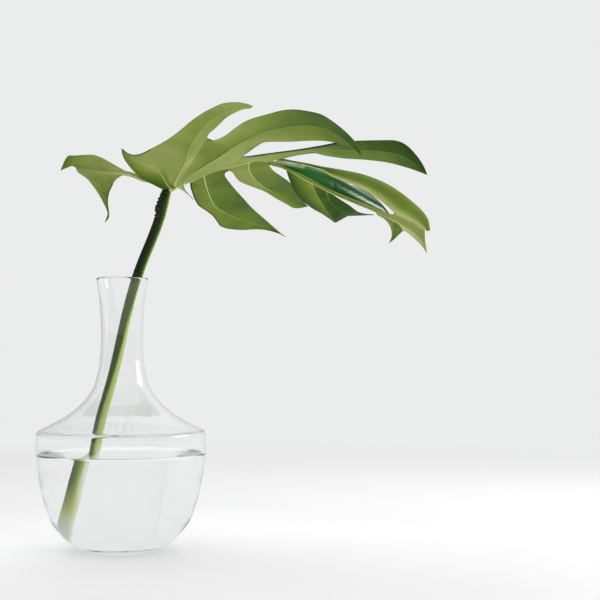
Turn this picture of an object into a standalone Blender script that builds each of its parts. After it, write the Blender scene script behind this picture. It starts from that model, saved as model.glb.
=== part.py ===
"""A single monstera leaf standing in a round glass vase half full of water.

Metres, +Z up. The origin is the middle of the vase's foot, on the surface that it stands on,
+X runs to the right as seen from the front and +Y away from the front.
Four pieces: the glass vase, the water, the petiole (leaf stalk) and the leaf blade.
Sizes below are in millimetres and are turned into metres by MM.
"""
import math

import bpy
from mathutils import Vector

MM = 0.001
GAP = 0.3                      # clearance between pieces that touch

# Vase: outside, from the rim down to the shoulder, and from the shoulder down to the foot
VASE_HEIGHT = 240.0
VASE_WALL = 2.5
VASE_BASE = 4.5
FOOT_RADIUS = 29.0
SHOULDER_RADIUS, SHOULDER_HEIGHT = 75.1, 104.9
NECK_OUTSIDE = [(22.7, VASE_HEIGHT - 1.6), (20.1, 220.5), (18.4, 189.5), (19.2, 168.3), (21.2, 155.9),
                (24.8, 143.5), (31.7, 132.8), (39.5, 124.9), (51.4, 116.5), (66.8, 108.2),
                (SHOULDER_RADIUS, SHOULDER_HEIGHT)]
BOWL_OUTSIDE = [(SHOULDER_RADIUS, SHOULDER_HEIGHT), (74.9, 92.0), (73.4, 76.0), (70.1, 54.9),
                (62.0, 28.8), (54.8, 17.7), (46.4, 9.0), (38.2, 3.2), (FOOT_RADIUS, 0.0)]
NECK_STEPS, BOWL_STEPS = 11, 9
VASE_SIDES = 48
FLOOR_STEPS = 3                # the rounding from the bowl's wall into its flat floor
FLOOR_RISE = 2.5

# Water
WATER_LEVEL = 84.0
LEVEL_MARGIN = 2.0             # the last ring of the bowl below the level is at least this far from it
FLOOR_ZONE = 30.0              # up to this height the inside of the bowl is more floor than wall
HOLE_MARGIN = 0.1              # makes the petiole's faceted hole clear it by GAP everywhere

# The guide points of the stalk and the blade are (across, up, depth): across and up are where the
# point is seen from EYE against the upright plane through the vase's middle, depth is how far it
# lies behind that plane, or before it if negative. seen_from_front() slides each point along its
# sight line.
EYE = Vector((157.6, -1187.0, 176.2))

# Petiole: its middle line from the cut end under water to the joint under the blade
PETIOLE_LINE = [(-41.5, 15.5, 8), (-36.5, 31, 8), (-24.8, 81.5, 8), (-18.2, 114.3, 8), (-6.2, 161, 8),
                (4.4, 208.5, 8), (12.1, 237.3, 8), (18.2, 256, 8), (25.7, 273.5, 8), (32.5, 291, 8),
                (35.5, 303.5, 8), (40.2, 316.4, 8)]
PETIOLE_RADIUS_FOOT = 5.0
PETIOLE_RADIUS_TOP = 4.0
PETIOLE_SIDES = 12
PETIOLE_SPANS = 14             # lengths between rings, below the joint
HOLE_RINGS = 9                 # the rings, from the foot, that the hole in the water follows
JOINT_LENGTH = 26.0            # the wrinkled joint (geniculum) at the top
JOINT_SWELL = 0.5
JOINT_SWELL_SHARE = 0.77       # the swelling dies out this far up the joint
JOINT_WRINKLES = 9
WRINKLE_DEPTH = 0.6
PETIOLE_DOME = [(0.8, 0.9), (0.45, 1.6)]   # rounded top: shares of the radius, and heights

# Leaf blade
BLADE_THICKNESS = 0.8
RIB_HALF_WIDTH = 2.0           # the midrib's half width, and how far it stands out at its root
RIB_HEIGHT = 2.6
RIB_TAPER = 0.7                # the share of that height which is lost by the apex
VEIN_HALF_WIDTH = 1.1          # the side ribs, which run out to nothing at the lobe's tip
VEIN_HEIGHT = 0.9
WIDEST_RIB_SHARE = 0.25        # a side rib's half width is at most this share of its column
WIDEST_MIDRIB_SHARE = 0.4      # and the midrib's at most this share of the first row
NEAREST_STATION = 0.1          # columns beside a guide leave the midrib this share of the way off

# The midrib, from the petiole to the apex
MIDRIB = [(45, 319.5, 8), (60, 326.5, 7), (78, 334.5, 6), (100, 340.5, 4), (124, 345, 3),
          (144.5, 337.5, 1), (166.5, 326, 0), (193, 312.5, -1), (223, 300, -2), (242, 290.5, -3),
          (257, 281.5, -4), (265, 272, -4.5), (268.5, 262, -5)]

# Lines that run from the midrib to the foot of the cut between two lobes. The first number is
# where the line leaves the midrib (its across), the second how many mesh rows it takes.
SPUR_NEAR_CUT = (47.0, 6, [(41.6, 326, 0), (38, 335, -14), (32, 345.5, -30), (25, 352.5, -42)])
NEAR_MIDDLE_CUT = (50.0, 6, [(48.5, 325, 2), (55, 334, -8), (62, 344.5, -22), (68, 354, -36),
                             (73, 361, -47), (75.5, 364, -51)])
MIDDLE_LONG_CUT = (97.5, 2, [(101, 343.5, -5), (105.5, 348, -14)])
LONG_END_CUT = (129.0, 4, [(135.5, 345, -4), (141.5, 346.5, -11)])
BACK_LOBES_CUT = (47.0, 9, [(36.3, 319, 15), (25, 324.3, 20), (17.7, 326.5, 25.5), (8, 330.5, 35),
                            (-3.5, 332.5, 48), (-15, 334, 58), (-28, 336, 67), (-42, 338.5, 73)])
BACK_SLIVER_CUT = (49.0, 1, [(49, 319.3, 12)])
SLIVER_FAR_CUT = (54.5, 1, [(55, 322.7, 12)])
FAR_SECOND_CUT = (93.0, 1, [(94.3, 335, 9.5)])
SECOND_ARCHED_CUT = (127.5, 1, [(130.2, 341.3, 6)])
ARCHED_SPUR_CUT = (237.0, 4, [(234.7, 299.3, 1), (232, 303.8, 5), (229, 307.3, 10)])
SPUR_APEX_CUT = (245.5, 3, [(247.5, 285.2, 4), (249, 282, 10)])

# Lobe tips
NEAR_SPUR_TIP = (-0.2, 353.8, -40)
NEAR_TIP = (118.7, 391, -120)
MIDDLE_TIP = (212.5, 349, -112)
LONG_TIP = (270, 332, -94)
BACK_LEFT_TIP = (-54, 336.5, 72)
BACK_LOW_TIP = (-12.8, 291.5, 100)
SLIVER_TIP = (63.3, 309.7, 66)
FAR_TIP = (146, 275.5, 118)
SECOND_TIP = (164.7, 303.8, 98)
FAR_SPUR_TIP = (236.5, 271, 34)

# Each lobe is a net of guide lines, in order along the midrib. A guide is where it leaves the
# midrib and its legs, each a number of rows and the points that the leg runs through.
NEAR_SPUR = [
    (45.0, [(10, [(38, 320.5, 5), (26.5, 326.5, -1), (16, 332, -8), (9.7, 337.5, -15), (6.2, 341, -20),
                  (2.7, 345.5, -27), (0.5, 350.3, -34), NEAR_SPUR_TIP])]),
    (46.0, [(10, [(40, 322.5, 3), (36.3, 329, -6), (32, 335, -13), (25, 339.5, -20), (16, 343.5, -27),
                  (8, 347.5, -34), NEAR_SPUR_TIP])]),
    (47.0, [SPUR_NEAR_CUT[1:], (4, [(16.8, 349, -44), (9.7, 347.7, -43), (4.4, 349.8, -42),
                                    NEAR_SPUR_TIP])])]
NEAR_LOBE = [
    (47.0, [SPUR_NEAR_CUT[1:], (8, [(33.7, 358, -52), (42.5, 364, -62), (51.4, 371, -72), (60, 379, -83),
                                    (69, 385, -92), (78, 390, -100), (88.5, 395, -109),
                                    (100, 396, -116), (110, 394.6, -119), NEAR_TIP])]),
    (48.5, [(14, [(46, 324, 1), (51.4, 335.5, -14), (56, 344, -27), (60, 357, -44), (66.4, 368.5, -60),
                  (75.3, 379, -76), (87, 387, -92), (101, 391.2, -107), NEAR_TIP])]),
    (50.0, [NEAR_MIDDLE_CUT[1:], (8, [(77, 368, -56), (82.4, 373, -63), (87, 377.3, -69),
                                      (92, 382, -77), (99, 386.3, -87), (107, 389.7, -99),
                                      (113.4, 391, -110), NEAR_TIP])])]
MIDDLE_LOBE = [
    (50.0, [NEAR_MIDDLE_CUT[1:], (10, [(77.5, 362.2, -51), (85, 362.7, -57), (92, 366, -65),
                                       (100, 372.5, -76), (107, 377.5, -85), (115, 381.4, -93),
                                       (126.6, 385, -102), (140, 388.8, -109), (150.5, 389.5, -113),
                                       (163, 388, -116), (175.3, 385, -118), (184, 380, -118.5),
                                       (195, 371.7, -118), (203.7, 363, -116), (209, 356, -114),
                                       MIDDLE_TIP])]),
    (53.0, [(16, [(60, 332, -4), (71, 338.7, -13), (79.7, 344, -22), (88.6, 349.8, -31),
                  (97.4, 356.2, -41), (109, 363, -53), (117.8, 367, -62), (131, 372, -74),
                  (144.4, 374.8, -84), (157.6, 376.4, -92), (171, 376, -99), (184, 372.4, -104),
                  (195.7, 365, -108), (205.5, 356, -110.5), MIDDLE_TIP])]),
    (97.5, [MIDDLE_LONG_CUT[1:], (14, [(113.4, 353.4, -24), (120.4, 358.2, -34), (125.8, 360.6, -42),
                                       (135.5, 361, -52), (148.8, 361, -63), (166.5, 362, -76),
                                       (179.8, 361.7, -85), (191.3, 359.7, -93), (202, 357, -101),
                                       (208, 353.4, -107), MIDDLE_TIP])])]
LONG_LOBE = [
    (97.5, [MIDDLE_LONG_CUT[1:], (12, [(113.4, 348.7, -22), (122, 350, -32), (140, 351.8, -48),
                                       (157.6, 354.2, -62), (175.3, 357.2, -74), (191.3, 360.3, -83),
                                       (207, 362.2, -92), (219.6, 362.6, -97), (232, 362.8, -101),
                                       (240, 362.2, -103), (248, 360, -103.5), (255, 354.7, -102.5),
                                       (262, 346.7, -100), (267, 338.7, -97), LONG_TIP])]),
    (109.0, [(14, [(114, 345.4, -4), (124, 347.2, -14), (138, 349.3, -28), (153, 351.4, -43),
                   (171, 353.6, -58), (188.6, 354.5, -71), (206.3, 354.2, -82), (224, 353.8, -90),
                   (240, 351.6, -95), (253.3, 346.7, -97), (263, 339.6, -96), LONG_TIP])]),
    (129.0, [LONG_END_CUT[1:], (10, [(148.8, 347.5, -17), (157.6, 349.3, -26), (171, 350.7, -38),
                                     (180.7, 348.7, -46), (197.5, 346.3, -57), (215, 345, -68),
                                     (233, 342.7, -77), (246, 339.5, -84), (256.8, 336, -89),
                                     (264, 334, -92), LONG_TIP])])]
# The near end of the blade, with the long hole beside the midrib. Its rows are the midrib, the
# hole's two edges, a side rib and the margin.
END_LOBE = [
    (129.0, [LONG_END_CUT[1:]]),
    (148.8, [(4, [(149.7, 336.5, -2), (154, 342, -19), (154, 342.6, -20), (154, 343.3, -21.5)])]),
    (162.0, [(4, [(163, 330.3, -2.5), (165.6, 339.5, -26), (165.6, 340.2, -27), (165.6, 341, -28.5)])]),
    (175.3, [(4, [(176, 322.8, -3), (176, 337, -30), (176, 337.6, -31.5), (176, 338.7, -33.5)])]),
    (184.2, [(4, [(185, 318.4, -3), (184, 331.6, -30.5), (184, 334.8, -34), (184, 337.4, -38)])]),
    (193.0, [(4, [(194, 314.4, -3.5), (193, 327.7, -31), (193, 331.6, -36), (193, 336, -43)])]),
    (210.8, [(4, [(211.7, 307.3, -4), (210.8, 320.6, -29), (210.8, 326, -36), (210.8, 333, -46)])]),
    (223.2, [(4, [(224, 302, -4.5), (225, 312, -25), (225.8, 319.7, -33), (225.8, 328, -45)])]),
    (233.0, [(4, [(233.8, 297.6, -5), (234.7, 304.6, -18), (237.3, 311.7, -28), (238, 321, -41)])]),
    (240.0, [(4, [(240.4, 296.2, -8.5), (241.3, 298.6, -12), (247, 303.3, -24), (249.7, 313, -37)])]),
    (250.6, [(4, [(250.6, 290, -8), (251.5, 293.2, -12), (256, 297.6, -21), (259, 305.4, -33)])]),
    (257.5, [(4, [(258, 286, -9), (259.5, 290, -13), (263, 292.2, -18), (266.4, 298.3, -29)])]),
    (264.0, [(4, [(265.2, 281.2, -8.5), (265.7, 286, -13), (268, 287.8, -16), (271, 291.4, -25)])]),
    (268.5, [(4, [(269.2, 273.6, -6.5), (268.6, 284.3, -11), (270.4, 282.5, -14), (273, 283, -20)])])]
END_HOLE_ROW = 1               # the hole lies between this row and the next
END_HOLE_LAST = 9              # and from the first guide to this one

BACK_LEFT = [
    (45.0, [(12, [(36.3, 320.3, 9), (25, 326, 9), (17.7, 329.5, 12), (9.7, 332.5, 18), (2.7, 335, 25),
                  (-5.3, 340, 34), (-16, 346, 43), (-25.7, 349.5, 50), (-34.5, 349.6, 56),
                  (-42.5, 347.6, 61), (-49.6, 343.2, 68), BACK_LEFT_TIP])]),
    (46.0, [(12, [(36.3, 319.2, 13), (25, 324.7, 17), (17.7, 327, 22), (8, 331.2, 31), (-1.8, 334, 43),
                  (-10.6, 336, 53), (-24, 339.2, 64), (-37.2, 341.2, 71), (-46, 340, 74),
                  BACK_LEFT_TIP])]),
    (47.0, [BACK_LOBES_CUT[1:], (3, [(-47.8, 338.8, 75), BACK_LEFT_TIP])])]
BACK_LOW = [
    (47.0, [BACK_LOBES_CUT[1:], (7, [(-37.2, 333.4, 77), (-31, 328.3, 81), (-24.8, 321.2, 86),
                                     (-20.4, 314.4, 90), (-16.8, 307.7, 93.5), (-14.2, 301, 96.5),
                                     BACK_LOW_TIP])]),
    (48.0, [(16, [(36.3, 318.6, 17), (25, 324, 23), (17.7, 326, 29), (8, 330.2, 39), (0, 331.6, 47),
                  (-6.2, 328, 58), (-10.2, 320.6, 69), (-12.8, 311.7, 81), (-13.3, 302, 91),
                  BACK_LOW_TIP])]),
    (49.0, [BACK_SLIVER_CUT[1:], (15, [(43.4, 317.7, 16), (36.3, 318.2, 20), (25, 323.6, 27),
                                       (17.7, 325.6, 33), (8, 329.8, 43), (1.3, 331.6, 49),
                                       (-4.4, 328.6, 57), (-8.9, 322.4, 66), (-11.3, 315.3, 75),
                                       (-12.4, 307.3, 84), (-11.7, 299.3, 92), BACK_LOW_TIP])])]
SLIVER = [
    (49.0, [BACK_SLIVER_CUT[1:], (4, [(52.3, 318, 24), (57.6, 314.4, 42), SLIVER_TIP])]),
    (51.0, [(5, [(51.4, 320.4, 14), (55.8, 317, 34), (60, 313, 52), SLIVER_TIP])]),
    (54.5, [SLIVER_FAR_CUT[1:], (4, [(56.7, 318.8, 28), (60, 314, 48), SLIVER_TIP])])]
FAR_LOBE = [
    (54.5, [SLIVER_FAR_CUT[1:], (13, [(57.6, 323.6, 12.5), (60.2, 324.5, 14), (61, 320.6, 19),
                                      (62.4, 316.2, 27), (64, 311.3, 35), (67.7, 305, 46),
                                      (74.4, 300.5, 56), (80.6, 295.8, 66), (85.5, 289.6, 77),
                                      (87.7, 287, 82), (94, 283.8, 88), (106.3, 282.5, 96),
                                      (120.4, 283.2, 103), (131, 281.6, 108), (140, 279, 113),
                                      FAR_TIP])]),
    (72.0, [(14, [(73, 326.8, 12), (74.4, 321.5, 21), (76.2, 316.2, 31), (78.4, 310.8, 41),
                  (82.4, 304.2, 53), (89.4, 299.3, 64), (99.2, 294.5, 76), (111.6, 290, 89),
                  (124, 286.5, 101), (133.7, 283, 109.5), FAR_TIP])]),
    (93.0, [FAR_SECOND_CUT[1:], (13, [(92, 334, 11.5), (91.5, 331.2, 15), (93.4, 327.7, 20),
                                      (99.2, 320, 34), (107.2, 311.3, 51), (115, 303, 68),
                                      (124, 295, 85), (132.8, 287, 101), (140.8, 279.8, 113),
                                      FAR_TIP])])]
SECOND_LOBE = [
    (93.0, [FAR_SECOND_CUT[1:], (11, [(97, 334, 12), (99.6, 330, 18), (102.7, 326.3, 24),
                                      (109, 323.7, 31), (117.8, 320, 42), (126.6, 316.2, 54),
                                      (135.5, 311.3, 66), (144.4, 306.4, 78), (151.4, 302.6, 88),
                                      (157.6, 302.4, 93), SECOND_TIP])]),
    (112.0, [(12, [(112, 338.3, 10), (114, 333, 19), (118.7, 327.2, 31), (124, 322.6, 42),
                   (131, 318.5, 54), (140, 314.6, 66), (148.8, 310.8, 78), (157.6, 306.4, 90),
                   SECOND_TIP])]),
    (127.5, [SECOND_ARCHED_CUT[1:], (11, [(131, 338, 12), (134.6, 334, 21), (140, 330.2, 32),
                                          (146, 326, 44), (152.3, 320, 58), (157.6, 313.5, 74),
                                          (161.2, 307.7, 88), SECOND_TIP])])]
# The lobe that rises behind the midrib, turns over and hangs down, with a hook beside the next cut
ARCHED_LOBE = [
    (127.5, [SECOND_ARCHED_CUT[1:], (3, [(133.7, 343, 9), (138, 344.3, 14), (142.6, 342.7, 20)]),
             (10, [(145.2, 338.3, 27), (147, 333, 34), (149.2, 326.3, 42), (153.2, 316.6, 53),
                   (161.2, 307, 65), (169.2, 301, 74), (177, 296.7, 80), (185, 291.6, 86),
                   (187.7, 289.8, 88)])]),
    (161.0, [(4, [(161.2, 335.6, 6), (162, 340.5, 14)]),
             (10, [(164.7, 337.4, 26), (167.4, 327.7, 39), (171, 318, 50), (176.2, 308.2, 61),
                   (182.4, 299, 72), (187, 292.7, 82), (189.5, 289.6, 88)])]),
    (186.0, [(4, [(187, 324, 5), (186, 331.2, 13), (183.3, 334, 22)]),
             (10, [(180.7, 328.6, 36), (180.7, 318.8, 48), (184, 309, 60), (191.3, 301, 70),
                   (195.7, 296, 78), (200, 294.5, 82)])]),
    (237.0, [ARCHED_SPUR_CUT[1:], (10, [(219.6, 314.4, 22), (209, 319.7, 32), (197.5, 321, 42),
                                        (189.5, 318.4, 50), (186.4, 314.8, 55), (193, 309, 60),
                                        (202, 303, 66), (209, 297.7, 70), (216, 296.2, 73),
                                        (222.3, 296.4, 76)])])]
FAR_SPUR = [
    (237.0, [ARCHED_SPUR_CUT[1:], (6, [(226.3, 303, 13), (225.2, 297, 16), (232, 292.7, 20),
                                       (237.3, 286, 25), (238.8, 278, 30), FAR_SPUR_TIP])]),
    (241.0, [(10, [(240, 289, 4), (239.5, 283.4, 14), (239, 277.2, 24), FAR_SPUR_TIP])]),
    (245.5, [SPUR_APEX_CUT[1:], (7, [(245, 278.5, 17), (240.4, 274.3, 27), FAR_SPUR_TIP])])]
APEX = [
    (245.5, [SPUR_APEX_CUT[1:]]),
    (252.0, [(3, [(252, 280.5, 9)])]),
    (258.0, [(3, [(257.7, 275.4, 6.5)])]),
    (264.0, [(3, [(263.5, 269.7, 1)])]),
    (268.5, [(3, [(268.5, 262, -5)])])]

# Nets on the near side of the midrib, then on the far side: guides, columns between two guides,
# and whether the inner guides are side ribs
NEAR_NETS = [(NEAR_SPUR, 2, True), (NEAR_LOBE, 3, True), (MIDDLE_LOBE, 3, True), (LONG_LOBE, 3, True),
             (END_LOBE, 1, False)]
FAR_NETS = [(BACK_LEFT, 2, True), (BACK_LOW, 2, True), (SLIVER, 2, True), (FAR_LOBE, 3, True),
            (SECOND_LOBE, 3, True), (ARCHED_LOBE, 3, True), (FAR_SPUR, 2, True), (APEX, 2, False)]


def seen_from_front(point):
    """Slide a guide point (across, up, depth) along its sight line from EYE to its depth."""
    across, up, depth = point
    stretch = 1.0 - depth / EYE.y
    return Vector((EYE.x + (across - EYE.x) * stretch, depth, EYE.z + (up - EYE.z) * stretch))


def smooth_line(points, steps):
    """Read steps + 1 evenly spaced points off a smooth curve through the given ones."""
    knots = [Vector(p) for p in points]
    ends = [2 * knots[0] - knots[1]] + knots + [2 * knots[-1] - knots[-2]]
    fine = [knots[0]]
    span_steps = 12
    for before, start, end, after in zip(ends, ends[1:], ends[2:], ends[3:]):
        for i in range(1, span_steps + 1):
            t = i / span_steps
            fine.append(0.5 * (2 * start + (end - before) * t
                               + (2 * before - 5 * start + 4 * end - after) * t ** 2
                               + (3 * start - before - 3 * end + after) * t ** 3))
    reach = [0.0]
    for a, b in zip(fine, fine[1:]):
        reach.append(reach[-1] + (b - a).length)
    line, k = [], 0
    for i in range(steps + 1):
        goal = reach[-1] * i / steps
        while k < len(fine) - 2 and reach[k + 1] < goal:
            k += 1
        span = max(reach[k + 1] - reach[k], 1e-9)
        line.append(fine[k].lerp(fine[k + 1], (goal - reach[k]) / span))
    return line


MIDRIB_LINE = smooth_line([seen_from_front(p) for p in MIDRIB], 200)
MIDRIB_ENDS = MIDRIB[0][0], MIDRIB[-1][0]


def on_midrib(across):
    """The midrib's point that is seen at this across."""
    for a, b in zip(MIDRIB_LINE, MIDRIB_LINE[1:]):
        across_a, across_b = (EYE.x + (p.x - EYE.x) / (1.0 - p.y / EYE.y) for p in (a, b))
        if across <= across_b:
            return a.lerp(b, max(0.0, (across - across_a) / (across_b - across_a)))
    return MIDRIB_LINE[-1].copy()


def run_guide(across, legs):
    """The points of one guide, one for each mesh row, starting on the midrib."""
    line = [on_midrib(across)]
    for rows, points in legs:
        stops = [seen_from_front(p) for p in points]
        if rows == len(stops):
            line += stops
        else:
            line += smooth_line([line[-1]] + stops, rows)[1:]
    return line


def run_net(guides, between, ribbed):
    """The columns of a lobe's net, each with its across on the midrib, its points and if it is a rib.

    They are the guides and the columns between them, one of which lies close beside each side
    rib. Every column gets an extra row close to the midrib, so that this can be a narrow ridge.
    """
    lines = [run_guide(across, legs) for across, legs in guides]
    last = len(lines) - 1
    columns = []
    for k in range(last):
        left, right = lines[k], lines[k + 1]
        from_rib, to_rib = ribbed and k > 0, ribbed and k < last - 1
        columns.append((guides[k][0], left, from_rib))
        shares = [i / between for i in range(1, between)]
        for share in [0.0] * from_rib + shares + [1.0] * to_rib:
            column = []
            for a, b in zip(left, right):
                beside = min(VEIN_HALF_WIDTH / max((b - a).length, 1e-6), WIDEST_RIB_SHARE)
                column.append(a.lerp(b, min(max(share, beside * from_rib), 1.0 - beside * to_rib)))
            apart = min(max(share, NEAREST_STATION), 1.0 - NEAREST_STATION)
            base = guides[k][0] + (guides[k + 1][0] - guides[k][0]) * apart
            column[0] = on_midrib(base)
            columns.append((base, column, False))
    columns.append((guides[last][0], lines[last], False))
    for _, column, _ in columns:
        length = max((column[1] - column[0]).length, 1e-6)
        column.insert(1, column[0].lerp(column[1], min(RIB_HALF_WIDTH / length, WIDEST_MIDRIB_SHARE)))
    return columns


def strip_beside_midrib(chain, left, right):
    """Triangles between a chain of midrib points and the two points of the first mesh row."""
    middle = len(chain) // 2
    strip = [[a, left, b] for a, b in zip(chain[:middle + 1], chain[1:middle + 1])]
    strip.append([chain[middle], left, right])
    strip += [[a, right, b] for a, b in zip(chain[middle:], chain[middle + 1:])]
    return strip


def weld_sheet():
    """Join all nets into one sheet: its points, its faces turned upwards, and each point's rib height."""
    points, heights, faces, index = [], [], [], {}

    def place(point, height):
        key = tuple(round(c, 3) for c in point)
        if key not in index:
            index[key] = len(points)
            points.append(point)
            heights.append(0.0)
        heights[index[key]] = max(heights[index[key]], height)
        return index[key]

    nets = [(guides is END_LOBE, near, run_net(guides, between, ribbed))
            for side, near in ((NEAR_NETS, True), (FAR_NETS, False))
            for guides, between, ribbed in side]
    stations = sorted({base for _, _, columns in nets for base, _, _ in columns})
    midrib = {}
    for base in stations:
        share = (base - MIDRIB_ENDS[0]) / (MIDRIB_ENDS[1] - MIDRIB_ENDS[0])
        midrib[base] = place(on_midrib(base), RIB_HEIGHT * (1.0 - RIB_TAPER * share))
    for holed, near, columns in nets:
        grid = []
        for _, column, rib in columns:
            rows = len(column) - 1
            grid.append([place(point, VEIN_HEIGHT * (1 - row / rows) * rib)
                         for row, point in enumerate(column)])
        for c, (left, right) in enumerate(zip(grid, grid[1:])):
            chain = [midrib[b] for b in stations if columns[c][0] <= b <= columns[c + 1][0]]
            cells = strip_beside_midrib(chain, left[1], right[1])
            for r in range(1, len(left) - 1):
                if not (holed and r == END_HOLE_ROW + 1 and c < END_HOLE_LAST):
                    cells.append([left[r], left[r + 1], right[r + 1], right[r]])
            for cell in cells:
                corners = [v for i, v in enumerate(cell) if v != cell[i - 1]]
                if len(corners) > 2:
                    faces.append(corners if near else corners[::-1])
    return points, heights, faces


def split_faces(points, faces):
    """Cut every four-cornered face along its shorter diagonal."""
    triangles = []
    for face in faces:
        if len(face) == 3:
            triangles.append(face)
            continue
        a, b, c, d = face
        if (points[a] - points[c]).length <= (points[b] - points[d]).length:
            triangles += [[a, b, c], [a, c, d]]
        else:
            triangles += [[b, c, d], [b, d, a]]
    return triangles


def thicken(points, heights, triangles):
    """Give the sheet its thickness, with the ribs standing out of its underside."""
    normals = [Vector((0, 0, 0)) for _ in points]
    for a, b, c in triangles:
        normal = (points[b] - points[a]).cross(points[c] - points[a])
        for v in (a, b, c):
            normals[v] += normal
    count = len(points)
    half = BLADE_THICKNESS / 2
    solid = [p + n.normalized() * half for p, n in zip(points, normals)]
    solid += [p - n.normalized() * (half + h) for p, n, h in zip(points, normals, heights)]
    shell = [list(t) for t in triangles] + [[v + count for v in reversed(t)] for t in triangles]
    sides = {}
    for a, b, c in triangles:
        for edge in ((a, b), (b, c), (c, a)):
            sides[edge] = True
    for a, b in sides:
        if (b, a) not in sides:
            shell += [[b, a, a + count], [b, a + count, b + count]]
    return solid, shell


def make_material(name, colour, roughness, transmission=0.0):
    material = bpy.data.materials.new(name)
    material.use_nodes = True
    shader = material.node_tree.nodes["Principled BSDF"]
    shader.inputs["Base Color"].default_value = (*colour, 1.0)
    shader.inputs["Roughness"].default_value = roughness
    shader.inputs["Metallic"].default_value = 0.0
    shader.inputs["Transmission Weight"].default_value = transmission
    return material


def make_object(name, points, faces, material, sharp_angle):
    """A named object from points in millimetres, shaded smooth but for edges over the angle."""
    mesh = bpy.data.meshes.new(name)
    mesh.from_pydata([tuple(p * MM) for p in points], [], faces)
    mesh.materials.append(material)
    mesh.shade_smooth()
    mesh.set_sharp_from_angle(angle=math.radians(sharp_angle))
    piece = bpy.data.objects.new(name, mesh)
    bpy.context.scene.collection.objects.link(piece)
    return piece


def turn_profile(profile, sides):
    """Spin a profile of (radius, height) about +Z. It starts and ends on the axis, and runs up the
    outside first, so that the faces point out."""
    points, rings = [], []
    for radius, height in profile:
        if radius < 1e-6:
            rings.append([len(points)] * sides)
            points.append(Vector((0, 0, height)))
            continue
        rings.append(list(range(len(points), len(points) + sides)))
        for s in range(sides):
            turn = 2 * math.pi * s / sides
            points.append(Vector((radius * math.cos(turn), radius * math.sin(turn), height)))
    faces = []
    for low, high in zip(rings, rings[1:]):
        for s in range(sides):
            t = (s + 1) % sides
            quad = [low[s], low[t], high[t], high[s]]
            corners = [v for i, v in enumerate(quad) if v != quad[i - 1]]
            if len(corners) > 2:
                faces.append(corners)
    return points, faces


def vase_outline():
    """The vase's outside from the foot up to the rim, as (radius, height)."""
    bowl = smooth_line([(r, h, 0) for r, h in reversed(BOWL_OUTSIDE)], BOWL_STEPS)
    neck = smooth_line([(r, h, 0) for r, h in reversed(NECK_OUTSIDE)], NECK_STEPS)
    return [(p.x, p.y) for p in bowl + neck[1:]]


def inward(outline, wall):
    """The outline moved inwards by the wall, the middle of the foot included."""
    inside = []
    for i, (radius, height) in enumerate(outline):
        before, after = outline[max(i - 1, 0)], outline[min(i + 1, len(outline) - 1)]
        run, rise = after[0] - before[0], after[1] - before[1]
        length = math.hypot(run, rise)
        inside.append((radius - wall * rise / length, height + wall * run / length))
    return inside


def vase_inside():
    """The inside of the glass from the rim down to the middle of the bowl's floor."""
    walls = [(r, h) for r, h in inward(vase_outline(), VASE_WALL) if h > VASE_BASE + FLOOR_RISE]
    edge_radius, edge_height = walls[0]
    floor = []
    for i in range(FLOOR_STEPS + 1):
        turn = math.radians(90 * i / (FLOOR_STEPS + 1))
        floor.append((edge_radius * math.sin(turn),
                      edge_height - (edge_height - VASE_BASE) * math.cos(turn)))
    return list(reversed(floor + walls))


def make_vase(material):
    outside = vase_outline()
    inside = vase_inside()
    lip_radius = (outside[-1][0] + inside[0][0]) / 2
    lip = [(lip_radius, VASE_HEIGHT)]
    profile = [(0.0, 0.0)] + outside + lip + inside
    return make_object("vase", *turn_profile(profile, VASE_SIDES), material, 30.0)


def petiole_rings(extra=0.0):
    """Centres, radii and directions of the petiole's rings, with something extra on the radii."""
    centres = smooth_line([seen_from_front(p) for p in PETIOLE_LINE], 90)
    length = sum((b - a).length for a, b in zip(centres, centres[1:]))
    plain_end = 1.0 - JOINT_LENGTH / length
    joint_spans = 2 * JOINT_WRINKLES
    shares = [plain_end * i / PETIOLE_SPANS for i in range(PETIOLE_SPANS + 1)]
    shares += [plain_end + (1 - plain_end) * i / joint_spans for i in range(1, joint_spans + 1)]
    rings = []
    for i, share in enumerate(shares):
        spot = share * (len(centres) - 1)
        k = min(int(spot), len(centres) - 2)
        centre = centres[k].lerp(centres[k + 1], spot - k)
        radius = PETIOLE_RADIUS_FOOT + (PETIOLE_RADIUS_TOP - PETIOLE_RADIUS_FOOT) * share
        if share > plain_end:
            into = (share - plain_end) / (1 - plain_end)
            radius += JOINT_SWELL * math.sin(math.pi * min(1.0, into / JOINT_SWELL_SHARE))
            radius -= WRINKLE_DEPTH * (i % 2 == 0)
        rings.append((centre, radius + extra, (centres[k + 1] - centres[k]).normalized()))
    end, end_radius, along = rings[-1]
    rings += [(end + along * rise, end_radius * share, along) for share, rise in PETIOLE_DOME]
    return rings


def tube(rings, sides):
    """A closed tube with flat ends through the given rings."""
    points, faces = [], []
    across = Vector((0, 1, 0))
    for centre, radius, along in rings:
        side = along.cross(across).normalized()
        up = side.cross(along).normalized()
        for s in range(sides):
            turn = 2 * math.pi * s / sides
            points.append(centre + (up * math.cos(turn) + side * math.sin(turn)) * radius)
    for r in range(len(rings) - 1):
        for s in range(sides):
            t = (s + 1) % sides
            low, high = r * sides, (r + 1) * sides
            faces.append([low + s, low + t, high + t, high + s])
    faces.append([sides - 1 - s for s in range(sides)])
    faces.append([len(points) - sides + s for s in range(sides)])
    return points, faces


def make_petiole(material):
    return make_object("petiole", *tube(petiole_rings(), PETIOLE_SIDES), material, 60.0)


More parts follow.
